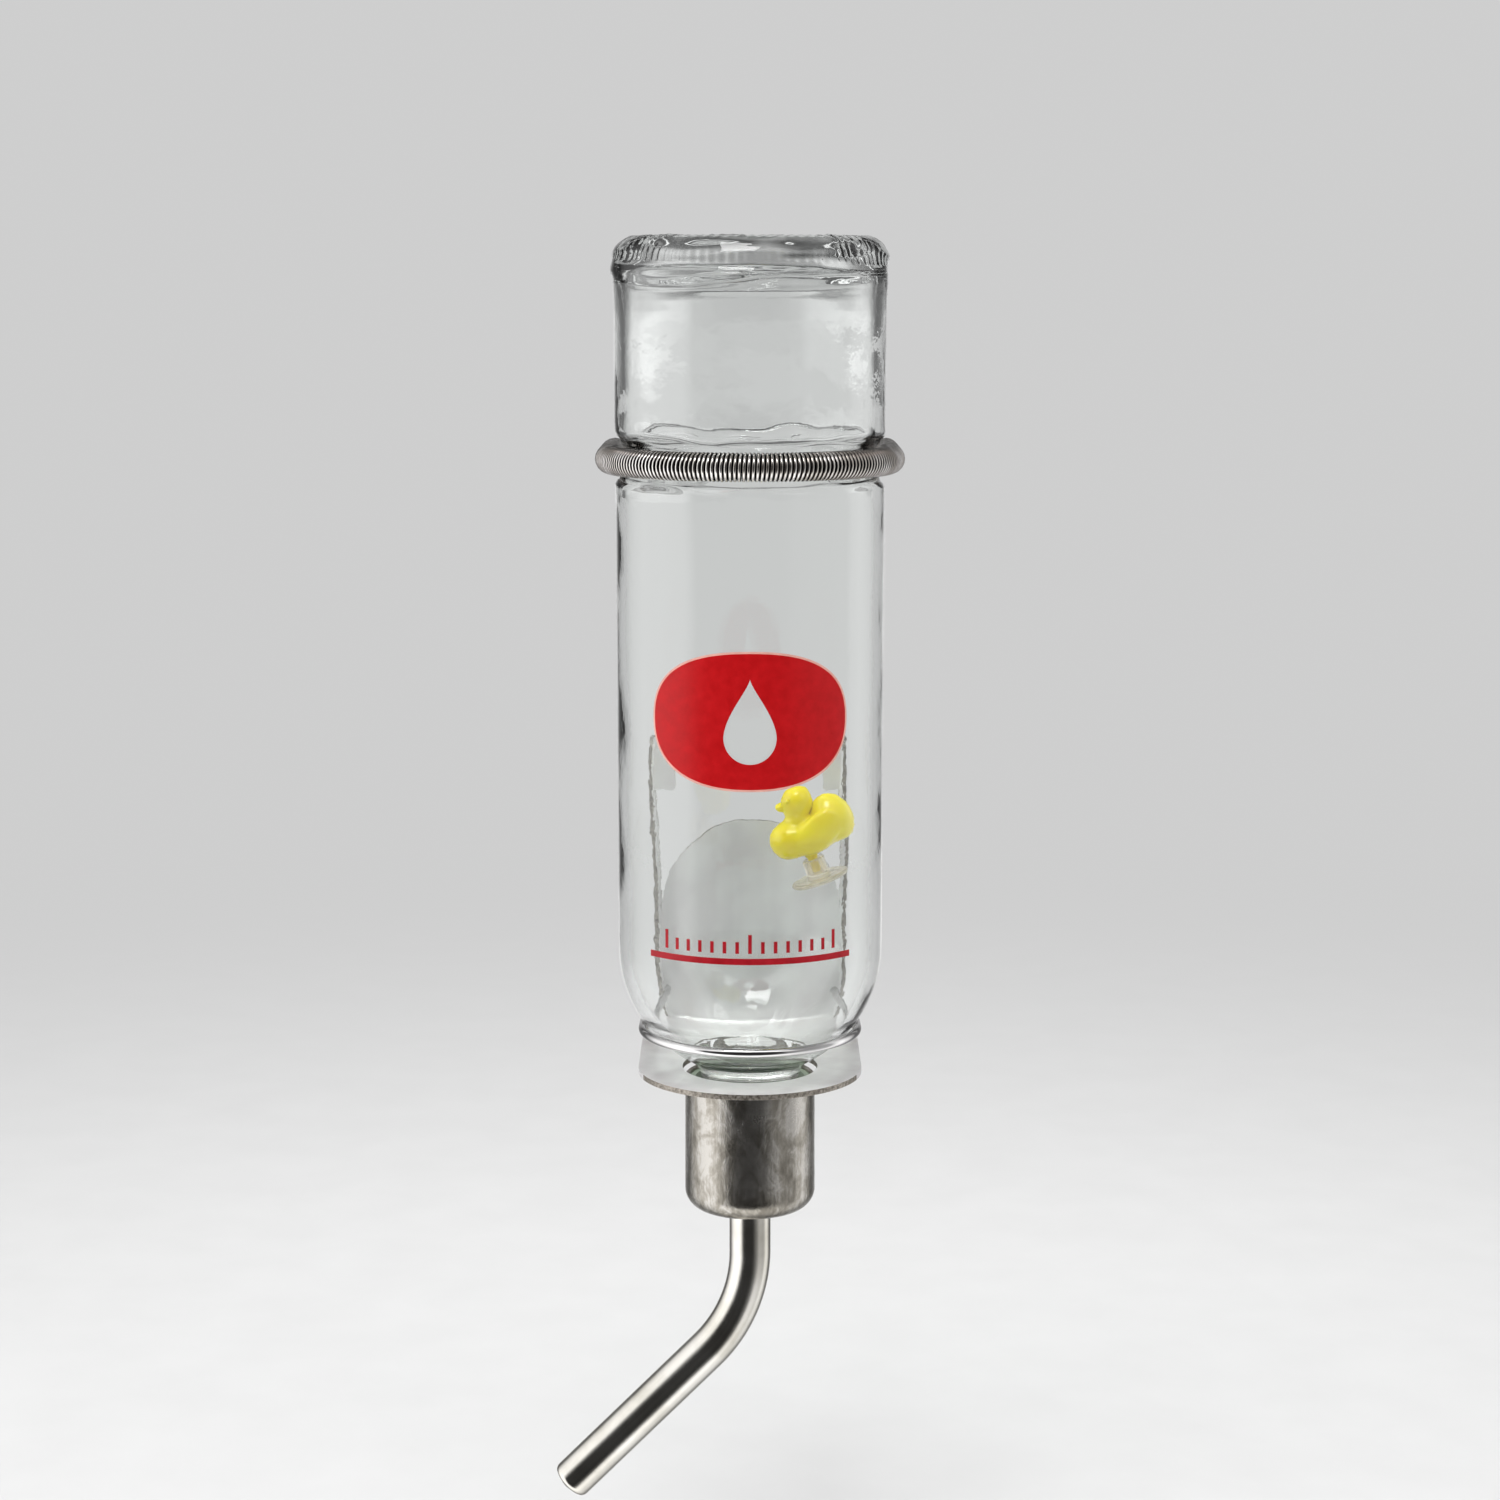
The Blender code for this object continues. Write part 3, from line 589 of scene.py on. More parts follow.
def glass_ripple(amount, seed):
    """Uneven moulded surface: broad waves, with finer ones near the spring's groove."""

    def ripple(angle, r, h):
        wave = amount * ring_noise(angle, 1.7, h * 55.0 + seed)
        near_groove = math.exp(-(((h - COIL_H) / 0.009) ** 2))
        wave += near_groove * 0.00030 * ring_noise(angle, 4.0, h * 300 + seed)
        lift = near_groove * 0.0011 * ring_noise(angle, 2.4, seed + 3.0)
        return wave if r > NECK_R + 0.001 else 0.0, lift

    return ripple


def base_waves(angle, h):
    """Slow flow lines of the moulded base: long round the bottle, short up it."""
    share = min(1.0, max(0.0, (h - HEEL_FOOT_H + 0.0012) / 0.0024))
    broad = 0.00066 * ring_noise(angle, 0.9, h * 320.0)
    return share * (broad + 0.00014 * ring_noise(angle, 2.0, h * 700.0 + 7.0))


def thread_lift(angle, h):
    """Height of the neck's screw thread above the neck, at one angle and height."""
    lift = 0.0
    for turn in range(math.ceil(THREAD_TURNS)):
        along = turn + angle / (2 * math.pi)
        away = abs(h - THREAD_LOW_H - PITCH * along) / THREAD_HALF
        if along <= THREAD_TURNS and away < 1.0:
            fade = min(1.0, min(along, THREAD_TURNS - along) / 0.12)
            lift = THREAD_R * fade * (1 - away**2) ** 0.8
    return lift


def outer_waves(angle, r, h):
    """Outside of the glass: waves in the base, raised crescents on top, the thread."""
    if h < 0.0 and r < NECK_R + 0.0001:
        return (thread_lift(angle, h) if r > NECK_R - 0.0001 else 0.0), 0.0
    dr, dh = glass_ripple(0.00010, 2.0)(angle, r, h)
    if r > HEEL_R - HEEL_ROUND * 0.7:
        dr += base_waves(angle, h)
    elif h > FLOOR_H - PUSH_UP:
        dh += 0.00026 * ring_noise(angle, r * 200, 3.0)
    middle = HEEL_R - HEEL_ROUND * 0.92
    band = math.exp(-(((r - middle) / 0.0017) ** 2))
    if h > BASE_TOP_H - 0.0016 and band > 0.05:
        uneven = ring_noise(angle, 2.0, 1.0)
        teeth = 0.5 + 0.5 * math.sin(angle * CRESCENTS + 0.9 * uneven)
        dh += band * 0.00038 * (teeth * (0.8 + 0.4 * uneven) - 1.0)
    return dr, dh


def inner_waves(angle, r, h):
    """Inside of the glass: broad waves, and a floor that is far from flat."""
    dr, dh = glass_ripple(0.00022, 9.0)(angle, r, h)
    if h > FLOOR_H - FLOOR_CORNER:
        share = min(1.0, (h - FLOOR_H + FLOOR_CORNER) / FLOOR_CORNER)
        broad = 0.0009 * ring_noise(angle, r * 75, 5.0)
        dh += share * (broad + 0.0002 * ring_noise(angle, r * 195, 13.0))
    return dr, dh


def build_bottle(glass):
    """One closed glass skin, from the middle of the base outside to the floor inside."""
    outside, inside = bottle_profile()
    rings = turned(outside, BOTTLE_STEPS, BOTTLE_STAND, outer_waves)
    rings += turned(inside, BOTTLE_STEPS, BOTTLE_STAND, inner_waves)
    shape = bmesh.new()
    skin(shape, rings)
    finish_mesh("bottle_glass", shape, glass, "bottle", 60, "glass_bottle")


# ---------------- prints on the glass


def on_glass(sideways, h, lift):
    """Point on the bottle's front at an arc length to the right of the middle."""
    angle = sideways / BODY_R
    reach = BODY_R + lift
    return place(reach * math.sin(angle), -reach * math.cos(angle), h)


def print_patch(name, inner, outer, material, bands):
    """Thin printed band between two closed outlines of (sideways, height) points."""
    rows = []
    for k in range(bands + 1):
        rows.append([between(a, b, k / bands) for a, b in zip(inner, outer)])
    top = [[on_glass(x, h, PRINT_HIGH) for x, h in row] for row in rows]
    base = [[on_glass(x, h, PRINT_LOW) for x, h in row] for row in reversed(rows)]
    shape = bmesh.new()
    skin(shape, top + base, closed_path=True)
    finish_mesh(name, shape, material, "bottle", 30)


def oval(width, height, middle, count, power=2.3):
    """Closed super-ellipse outline."""
    points = []
    for c, s in around(count):
        x = math.copysign(abs(c) ** (2 / power), c) * width / 2
        y = math.copysign(abs(s) ** (2 / power), s) * height / 2
        points.append((x, middle + y))
    return points


def drop(width, height, middle, count):
    """Closed outline of a water drop, with its point upwards."""
    points = []
    for c, s in around(count):
        upper = max(0.0, s)
        x = c * (1 - upper**1.6) ** 0.9 * width / 2 if s > 0 else c * width / 2
        y = s * width / 2 if s < 0 else s * (height - width / 2)
        points.append((x, middle - height / 2 + width / 2 + y))
    return points


def strip(name, left, right, low, high, material, columns):
    """Printed bar between two sideways limits and two heights."""
    bottom = [(left + (right - left) * i / columns, low) for i in range(columns + 1)]
    upper = [(x, high) for x, _ in bottom]
    sides = ((bottom, PRINT_HIGH), (upper, PRINT_HIGH), (upper, PRINT_LOW), (bottom, PRINT_LOW))
    rows = [[on_glass(x, h, lift) for x, h in line] for line, lift in sides]
    shape = bmesh.new()
    made = skin(shape, rows, closed_rings=False, closed_path=True)
    shape.faces.new([row[0] for row in made])
    shape.faces.new([row[-1] for row in reversed(made)])
    finish_mesh(name, shape, material, "bottle", 30)


def build_prints(red, pink, dark_red):
    """Plain badge with a drop, the fill line and its ticks, all thin ink."""
    middle = 0.0836
    height = 0.0304
    width = 2 * BODY_R * math.radians(44.5)
    count = 120
    edge = 0.00045
    field = oval(width - 2 * edge, height - 2 * edge, middle, count)
    rim = oval(width, height, middle, count)
    hole = drop(0.0115, 0.0185, middle, count)
    print_patch("print_badge", hole, field, red, 12)
    print_patch("print_badge_rim", field, rim, pink, 1)
    line = 0.0310
    thick = 0.0014
    half_line = BODY_R * math.radians(46.9)
    low, high = line - thick / 2, line + thick / 2
    strip("print_fill_line", -half_line, half_line, low, high, dark_red, 72)
    ticks = 15
    half_ticks = BODY_R * math.radians(37.5)
    half_tick = 0.0004
    foot = line + 0.0018
    for i in range(ticks):
        x = -half_ticks + 2 * half_ticks * i / (ticks - 1)
        head = foot + (0.0042 if i % 7 == 0 else 0.0026)
        strip(f"print_tick_{i:02d}", x - half_tick, x + half_tick, foot, head, dark_red, 3)


# ---------------- hanger


def prism(name, outline, thickness, matrix):
    """A flat outline given a thickness, centred on its plane."""
    shape = bmesh.new()
    low = [shape.verts.new((x, y, -thickness / 2)) for x, y in outline]
    face = shape.faces.new(low)
    made = bmesh.ops.extrude_face_region(shape, geom=[face])
    raised = [item for item in made["geom"] if isinstance(item, bmesh.types.BMVert)]
    bmesh.ops.translate(shape, verts=raised, vec=(0, 0, thickness))
    bmesh.ops.recalc_face_normals(shape, faces=shape.faces)
    bmesh.ops.transform(shape, matrix=matrix, verts=shape.verts)
    return add_object(name, mesh_of(name, shape))


def combine(target, tool, operation):
    """Apply one exact Boolean and remove the tool."""
    modifier = target.modifiers.new("cut", "BOOLEAN")
    modifier.operation = operation
    modifier.solver = "EXACT"
    modifier.object = tool
    mesh = baked(target)
    target.modifiers.clear()
    target.data = mesh
    bpy.data.objects.remove(tool, do_unlink=True)


DEPTH_PLANE = Matrix(((0, 0, 1, 0), (1, 0, 0, 0), (0, 1, 0, 0), (0, 0, 0, 1)))
FRONT_PLANE = Matrix(((1, 0, 0, 0), (0, 0, -1, 0), (0, 1, 0, 0), (0, 0, 0, 1)))
HANGER_HALF = (HANGER_HIGH.x - HANGER_LOW.x) / 2
HANGER_TOP = HANGER_HIGH.z
HANGER_REAR = 0.0
FOLD_R = 0.0015
HOLE_R = 0.0154


def hanger_section():
    """Side outline of the folded sheet as (y, z)."""
    front = AXIS_Y - HANGER_HALF - 0.002
    corner = (HANGER_REAR - SHEET - FOLD_R, SHELF_Z + FOLD_R)
    inner = arc(corner, FOLD_R, -90, 0, 12)
    outer = arc(corner, FOLD_R + SHEET, 0, -90, 12)
    outline = [(front, SHELF_Z)] + inner
    outline += [(HANGER_REAR - SHEET, HANGER_TOP), (HANGER_REAR, HANGER_TOP)]
    return outline + outer + [(front, SHELF_Z - SHEET)]


def hanger_plan():
    front = [(x, y + AXIS_Y) for x, y in arc((0.0, 0.0), HANGER_HALF, 180, 360, 96)]
    return front + [(HANGER_HALF, 0.004), (-HANGER_HALF, 0.004)]


def hanger_front_view():
    """Half round tongue between two rounded ears, as (x, z)."""
    ear_low = HANGER_TOP - 0.0132
    inside = HANGER_HALF - 0.0065
    gap = HANGER_HALF - SHEET - 0.0004
    tongue = arc((0.0, SHELF_Z + 0.0521 - gap), gap, 0, 180, 72)
    soft = 0.0012
    right = [(HANGER_HALF, SHELF_Z - 0.004), (HANGER_HALF, HANGER_TOP)]
    right += arc((inside + soft, HANGER_TOP - soft), soft, 90, 180, 5)
    right += arc((inside + soft, ear_low + soft), soft, 180, 270, 5)
    right += [(gap, ear_low)]
    left = [(-x, z) for x, z in reversed(right)]
    return right + tongue + left


def arm_outline():
    """Forward flange with a hook behind its top, as (y, z)."""
    low = SHELF_Z + 0.0005
    depth = 0.0062
    reach = HANGER_HIGH.y
    nose = 0.0020
    hook_top = HANGER_TOP - 0.002
    roof = hook_top - 0.003
    nose_low = hook_top - 0.011
    corner = 0.0025
    outline = [(-depth, low)]
    outline += arc((-depth + corner, HANGER_TOP - corner), corner, 180, 90, 10)
    outline += [(0.0, HANGER_TOP), (0.0005, hook_top)]
    outline += arc((reach - 0.0015, hook_top - 0.0015), 0.0015, 90, 0, 6)
    outline += arc((reach - nose / 2, nose_low + nose / 2), nose / 2, 0, -180, 8)
    outline += [(reach - nose, roof), (0.0, roof), (0.0, low)]
    return outline


def mark_cut_edges(mesh):
    """Sheared faces are the narrow ones: those that touch no wide face's plane."""
    edge = mesh.attributes.new("cut_edge", "FLOAT", "FACE")
    for face in mesh.polygons:
        x, y, z = face.center
        normal = face.normal
        on_shelf = abs(normal.z) > 0.7 and z < SHELF_Z + FOLD_R
        on_back = abs(normal.y) > 0.7 and y > -SHEET - FOLD_R and z > SHELF_Z
        on_arm = abs(normal.x) > 0.7 and abs(x) > HANGER_HALF - 1.2 * SHEET
        in_fold = z < SHELF_Z + FOLD_R + SHEET and y > -SHEET - 2 * FOLD_R and abs(normal.x) < 0.7
        edge.data[face.index].value = 0.0 if on_shelf or on_back or on_arm or in_fold else 1.0


def build_hanger(steel):
    """The same folded sheet as the frame's, with fine curves and rounded edges."""
    hanger = prism("hanger_sheet", hanger_section(), 2 * HANGER_HALF + 0.002, DEPTH_PLANE)
    plan = prism("plan", hanger_plan(), 0.25, Matrix.Translation((0, 0, SHELF_Z)))
    combine(hanger, plan, "INTERSECT")
    combine(hanger, prism("front_view", hanger_front_view(), 0.2, FRONT_PLANE), "INTERSECT")
    hole_edge = [(x, y + AXIS_Y) for x, y in arc((0.0, 0.0), HOLE_R, 0, 360, 144)[:-1]]
    hole = prism("hole", hole_edge, 0.02, Matrix.Translation((0, 0, SHELF_Z)))
    combine(hanger, hole, "DIFFERENCE")
    for side in (-1, 1):
        stand = DEPTH_PLANE.copy()
        stand[0][3] = side * (HANGER_HALF - SHEET / 2)
        combine(hanger, prism("arm", arm_outline(), SHEET, stand), "UNION")
    hanger.data.materials.clear()
    hanger.data.materials.append(steel)
    round_edges(hanger, 0.00028, 3, 40)
    mesh = baked(hanger)
    hanger.modifiers.clear()
    hanger.data = mesh
    mark_cut_edges(mesh)
    shade(mesh, 50)
    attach(hanger, "hanger")
    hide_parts("hanger_bracket")


def build_cradle(steel):
    """Polished wire bent to a U round the bottle's shoulder."""
    radius = (CRADLE_HIGH.z - CRADLE_LOW.z) / 2
    h = (CRADLE_HIGH.z + CRADLE_LOW.z) / 2 - SHELF_Z
    reach = (CRADLE_HIGH.x - CRADLE_LOW.x) / 2 - radius
    end_y = CRADLE_HIGH.y - AXIS_Y
    leg_x = 0.0228
    path = [(-leg_x, end_y), (-leg_x, end_y - 0.0042)]
    path += [(-reach + 0.0002, 0.0052), (-reach, 0.003)]
    path += arc((0.0, 0.0), reach, 180, 360, 96)
    path += [(reach, 0.003), (reach - 0.0002, 0.0052)]
    path += [(leg_x, end_y - 0.0042), (leg_x, end_y)]
    centres = [place(x, y, h) for x, y in path]
    centres[0].y -= radius * 0.35
    centres[-1].y -= radius * 0.35
    shape = bmesh.new()
    skin(shape, rounded_wire(centres, radius * 0.999, 24), cap_ends=True)
    finish_mesh("cradle_bright_wire", shape, steel, "hanger", 50, "cradle_wire")


# ---------------- spring


def spring_path(distance):
    """Centre and sideways direction of the U at a distance along it from its left end."""
    leg = COIL_LEG_END_Y
    half = math.pi * COIL_PATH_R
    if distance < leg:
        return Vector((-COIL_PATH_R, leg - distance, 0)), Vector((-1, 0, 0))
    if distance < leg + half:
        angle = math.pi + (distance - leg) / COIL_PATH_R
        out = Vector((math.cos(angle), math.sin(angle), 0))
        return out * COIL_PATH_R, out
    return Vector((COIL_PATH_R, distance - leg - half, 0)), Vector((1, 0, 0))


def hook_points(side):
    """Centre line of an end hook, from inside the last coils over a cage wire."""
    bend_r = 0.0030
    x = side * COIL_PATH_R
    top = COIL_R - 2 * SPRING_WIRE_R
    bend_y = COIL_LEG_END_Y + 0.0052
    points = [(x, COIL_LEG_END_Y - 0.0005, top), (x, COIL_LEG_END_Y + 0.002, top)]
    for i in range(17):
        angle = math.radians(190 * i / 16)
        y = bend_y + bend_r * math.sin(angle)
        points.append((x, y, top - bend_r * (1 - math.cos(angle))))
    return [place(px, py, COIL_H + pz) for px, py, pz in points]


def build_spring(steel):
    """Close-wound coil of round wire, wound along the U, ending in two hooks."""
    wire = SPRING_WIRE_R
    winding_r = COIL_R - wire
    length = 2 * COIL_LEG_END_Y + math.pi * COIL_PATH_R - 2 * wire
    turns = int(length / SPRING_PITCH)
    per_turn = 20
    centres = []
    outward = []
    for i in range(turns * per_turn + 1):
        share = i / (turns * per_turn)
        centre, out = spring_path(wire + length * share)
        angle = 2 * math.pi * i / per_turn + math.pi / 2
        facing = math.cos(angle) * out + math.sin(angle) * Vector((0, 0, 1))
        point = centre + winding_r * facing
        centres.append(place(point.x, point.y, COIL_H + point.z))
        outward.append(facing)
    shape = bmesh.new()
    # How far each point faces out of its winding; the spring's material paints shade into the gaps
    # from this value.
    gap = shape.verts.layers.float.new("outward")
    made = skin(shape, rounded_wire(centres, wire, 8), cap_ends=True)
    for ring, point, out in zip(made[2:-2], centres, outward):
        for vert in ring:
            vert[gap] = (vert.co - point).dot(out) / wire
    for side in (-1, 1):
        for ring in skin(shape, rounded_wire(hook_points(side), wire, 10), cap_ends=True):
            for vert in ring:
                vert[gap] = 1.0
    finish_mesh("spring_coils", shape, steel, "spring", 70, "coil_spring")


# ---------------- cap and its inside


CAP_STEPS = 192


def build_cap(steel):
    """Deep-drawn cup with a rolled lip, a soft foot and a turned-in hole edge."""
    r = (CAP_HIGH.x - CAP_LOW.x) / 2
    top = CAP_HIGH.z - SHELF_Z
    low = CAP_LOW.z - SHELF_Z
    wall = 0.00045
    lip = 0.00055
    foot = 0.0045
    hole = 0.0058
    inner = r - wall
    corner = (r - foot, low + foot)
    profile = arc((r - lip, top - lip), lip, 180, 0, 12)
    profile += [(r - 0.00012, top - 0.0016), (r - 0.00005, top - 0.0024)]
    profile += arc(corner, foot, 0, -84, 20)
    profile += [(r - foot - 0.0016, low + 0.0002), (hole + 0.0008, low + 0.0001)]
    profile += arc((hole + wall / 2, low + wall / 2), wall / 2, -90, -270, 6)
    profile += arc(corner, foot - wall, -90, 0, 16)
    profile += [(inner, top - lip * 3), (r - 2 * lip, top - lip * 2)]
    rings = turned(refine(profile, 0.0018), CAP_STEPS, BOTTLE_STAND, cap_ripple)
    shape = bmesh.new()
    skin(shape, rings, closed_path=True)
    finish_mesh("cap_drawn_shell", shape, steel, "cap", 50, "cap_shell")


def cap_ripple(angle, _r, h):
    """Faint unevenness left by deep drawing, with a few shallow dings."""
    wave = 0.00006 * ring_noise(angle, 1.2, h * 60)
    ding = ring_noise(angle, 5.0, h * 260 + 4)
    return wave - 0.00005 * max(0.0, ding - 0.25), 0.0


def build_inside(sleeve, rubber):
    """Threaded sleeve, gasket and grommet: the frame's own solids with real finishes."""
    for node, material in (
        ("thread_insert", sleeve),
        ("mouth_gasket", rubber),
        ("tube_grommet", rubber),
    ):
        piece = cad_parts[node]
        piece.data.materials.clear()
        piece.data.materials.append(material)
        shade(piece.data, 35)
        round_edges(piece, 0.0002, 2, 50)


# ---------------- tube and balls


def tube_centres():
    """(centre, outer radius) pairs from the flared top to the rolled tip."""
    path = []
    flare_h = 0.0016
    for i in range(13):
        share = i / 12
        flare = (FLARE_R - TUBE_R) * (1 - math.sin(share * math.pi / 2))
        path.append((Vector((0, 0, TUBE_TOP_H - TUBE_WALL - flare_h * share)), TUBE_R + flare))
    straight_top = path[-1][0].z
    for i in range(1, 13):
        h = straight_top + (BEND_TOP_H - straight_top) * i / 12
        path.append((Vector((0, 0, h)), TUBE_R))
    for i in range(1, 33):
        angle = BEND_ANGLE * i / 32
        x = -BEND_R * (1 - math.cos(angle))
        flatten = 1 - 0.012 * math.sin(math.pi * i / 32)
        h = BEND_TOP_H - BEND_R * math.sin(angle)
        path.append((Vector((x, 0, h)), TUBE_R * flatten))
    end = path[-1][0]
    tip = end + LOWER_AXIS * LOWER_LENGTH
    for i in range(1, 25):
        path.append((end.lerp(tip - LOWER_AXIS * 0.0022, i / 24), TUBE_R))
    roll = 0.0014
    for i in range(1, 11):
        angle = math.pi / 2 * i / 10
        back = roll * (1 - math.sin(angle))
        rolled = (TUBE_R - TIP_OPENING_R - TUBE_WALL) * (1 - math.cos(angle))
        path.append((tip - LOWER_AXIS * back, TUBE_R - rolled))
    return path


def build_tube(steel):
    """Bent tube with a real bore: outer skin, rounded rims and inner skin."""
    path = tube_centres()
    centres = [place(*point) for point, _ in path]
    radii = [radius for _, radius in path]
    up = Vector((0, 1, 0))
    outer = sweep_rings(centres, radii, TUBE_SIDES, up)
    inner = sweep_rings(centres, [r - TUBE_WALL for r in radii], TUBE_SIDES, up)
    raised = [p + Vector((0, 0, TUBE_WALL * 0.45)) for p in centres[:2]]
    top_mid = sweep_rings(raised, [radii[0] - TUBE_WALL * 0.5, radii[1]], TUBE_SIDES, up)[0]
    tip_mid = []
    for a, b in zip(outer[-1], inner[-1]):
        tip_mid.append((a + b) / 2 + LOWER_AXIS * TUBE_WALL * 0.35)
    rings = [top_mid, *outer, tip_mid, *reversed(inner)]
    shape = bmesh.new()
    draw = shape.verts.layers.float_vector.new("draw")
    made = skin(shape, rings, closed_path=True)
    runs = [0.0]
    for a, b in zip(centres, centres[1:]):
        runs.append(runs[-1] + (b - a).length)
    runs = [runs[0], *runs, runs[-1], *reversed(runs)]
    for ring, run in zip(made, runs):
        for vert, (c, s) in zip(ring, around(TUBE_SIDES)):
            vert[draw] = Vector((30 * c, 30 * s, run * 60))
    finish_mesh("tube_polished", shape, steel, "tube", 60, "drinking_tube")


def build_ball(name, node, low, high, steel):
    """Ground valve ball, finer than the frame's."""
    centre = (low + high) / 2
    radius = (high.z - low.z) / 2
    shape = bmesh.new()
    bmesh.ops.create_icosphere(shape, subdivisions=5, radius=radius)
    for vert in shape.verts:
        flaw = noise.noise(vert.co.normalized() * 3.0) * 0.000004
        vert.co = vert.co.normalized() * (radius + flaw)
    bmesh.ops.translate(shape, verts=shape.verts, vec=centre)
    finish_mesh(name, shape, steel, node, 60, node)


# ---------------- duck

MM = 0.001
DUCK_SOFTNESS = 0.45 * MM
DUCK_LEAN = math.radians(-20)
# From the duck's own frame: origin on the keel disc, +Z up its stem, bill at -X
DUCK_STAND = Matrix.Translation(place(0.0158, 0.0, 0.0438)) @ Matrix.Rotation(DUCK_LEAN, 4, "Y")
# Ellipsoids of the duck's soft union: centre and radii in mm, tilt about Y in degrees
DUCK_BLOBS = {
    "breast": ((-3.7, 0.0, 10.6), (4.3, 4.6, 4.4), 0),
    "belly": ((1.4, 0.0, 9.9), (6.6, 5.0, 4.2), 0),
    "tail": ((7.4, 0.0, 12.2), (4.5, 3.6, 5.6), -12),
    "neck": ((-0.4, 0.0, 14.6), (2.7, 2.4, 2.2), 0),
    "head": ((0.6, 0.0, 18.0), (3.5, 3.1, 3.3), 0),
    "crown": ((1.2, 0.0, 19.0), (2.9, 2.6, 2.6), 0),
    "left_wing": ((4.2, 3.5, 11.2), (5.0, 1.5, 3.3), -24),
    "right_wing": ((4.2, -3.5, 11.2), (5.0, 1.5, 3.3), -24),
}


def duck_blobs():
    """(centre, radii, turn into its own axes) of each ellipsoid."""
    blobs = []
    for centre, radii, tilt in DUCK_BLOBS.values():
        turn = Matrix.Rotation(-math.radians(tilt), 3, "Y")
        blobs.append((Vector(centre) * MM, Vector(radii) * MM, turn))
    return blobs


def duck_field(point, blobs):
    """Smooth union of the ellipsoids: below zero inside."""
    total = 0.0
    for centre, radii, turn in blobs:
        local = turn @ (point - centre)
        scaled = Vector((local.x / radii.x, local.y / radii.y, local.z / radii.z))
        distance = (scaled.length - 1.0) * min(radii)
        total += math.exp(-distance / DUCK_SOFTNESS)
    return -DUCK_SOFTNESS * math.log(max(total, 1e-12))


def duck_union(blobs):
    """The ellipsoids as one closed skin of small faces."""
    shape = bmesh.new()
    for centre, radii, turn in blobs:
        made = bmesh.ops.create_uvsphere(shape, u_segments=28, v_segments=18, radius=1.0)
        back = turn.inverted()
        for vert in made["verts"]:
            vert.co = centre + back @ (vert.co * radii)
    raw = add_object("duck_raw", mesh_of("duck_raw", shape))
    remesh = raw.modifiers.new("remesh", "REMESH")
    remesh.mode = "VOXEL"
    remesh.voxel_size = 0.28 * MM
    shape = bmesh.new()
    shape.from_mesh(baked(raw))
    bpy.data.objects.remove(raw, do_unlink=True)
    return shape


def settle(shape, blobs):
    """Move each point onto the smooth union's surface, then even the faces out."""
    step = 0.05 * MM
    for vert in shape.verts:
        here = duck_field(vert.co, blobs)
        axes = (Vector((1, 0, 0)), Vector((0, 1, 0)), Vector((0, 0, 1)))
        slope = Vector([duck_field(vert.co + axis * step, blobs) - here for axis in axes])
        if slope.length > 1e-9:
            vert.co -= slope.normalized() * here * 0.8
    every_way = {"use_axis_x": True, "use_axis_y": True, "use_axis_z": True}
    bmesh.ops.smooth_vert(shape, verts=shape.verts, factor=0.35, **every_way)


def build_duck(yellow):
    """Soft duck shrunk onto a smooth union of ellipsoids."""
    blobs = duck_blobs()
    shape = duck_union(blobs)
    for _ in range(3):
        settle(shape, blobs)
    bmesh.ops.transform(shape, matrix=DUCK_STAND, verts=shape.verts)
    finish_mesh("duck_body", shape, yellow, "duck", 80, "duck_float")


def build_bill(yellow):
    """Short rounded bill, flatter and narrower towards its tip."""
    rings = []
    for i in range(9):
        share = i / 8
        round_off = math.sqrt(max(0.0, 1 - (share * 0.97) ** 4))
        x = (-1.7 - 2.5 * share) * MM
        half_wide = (1.6 - 0.3 * share) * MM * round_off
        half_tall = (1.35 - 0.45 * share) * MM * round_off
        z = (18.0 + 0.55 * share) * MM
        ring = [Vector((x, half_wide * c, z + half_tall * s)) for c, s in around(20)]
        rings.append([DUCK_STAND @ point for point in ring])
    shape = bmesh.new()
    skin(shape, rings, cap_ends=True)
    finish_mesh("duck_bill", shape, yellow, "duck", 60)


def build_eyes(yellow):
    """Two small moulded bumps."""
    shape = bmesh.new()
    for side in (-1, 1):
        eye = bmesh.ops.create_uvsphere(shape, u_segments=14, v_segments=10, radius=0.55 * MM)
        centre = Vector((-1.0, side * 2.4, 19.4)) * MM
        for vert in eye["verts"]:
            vert.co = DUCK_STAND @ (vert.co + centre)
    finish_mesh("duck_eyes", shape, yellow, "duck", 60)


def build_stem(yellow):
    """Moulded stem that widens into the duck's belly."""
    profile = []
    for share in (0.0, 0.04, 0.3, 0.6, 0.8, 0.92, 1.0):
        r = (1.0 + 5.4 * max(0.0, share - 0.6) ** 2) * MM
        profile.append((r * (0.85 if share == 0.0 else 1.0), (1.7 + 4.6 * share) * MM))
    shape = bmesh.new()
    skin(shape, turned(profile, 24, DUCK_STAND), cap_ends=True)
    finish_mesh("duck_stem", shape, yellow, "duck", 60)


def build_keel(clear):
    """Clear moulded disc with a socket, a soft rim and a faint dish."""
    half = 0.55
    r = 6.6
    profile = [(0.0, 1.3), (1.2, 1.3), (1.3, 1.45), (1.3, 4.6), (1.45, 4.8), (2.35, 4.8)]
    profile += [(2.6, 4.55), (2.6, 1.1), (3.1, half), (4.6, half * 0.75), (5.6, half * 0.95)]
    profile += arc((r - half, 0.0), half, 90, -90, 8)
    profile += [(5.0, -half * 0.85), (2.0, -half * 0.8), (0.0, -half * 0.8)]
    profile = [(radius * MM, h * MM) for radius, h in profile]
    shape = bmesh.new()
    skin(shape, turned(profile, 72, DUCK_STAND))
    finish_mesh("keel_disc", shape, clear, "duck", 40, "float_keel")


# ---------------- stage


FLOOR_DROP = 0.030
FLOOR_R = 12.0
BACKDROP = 0.62


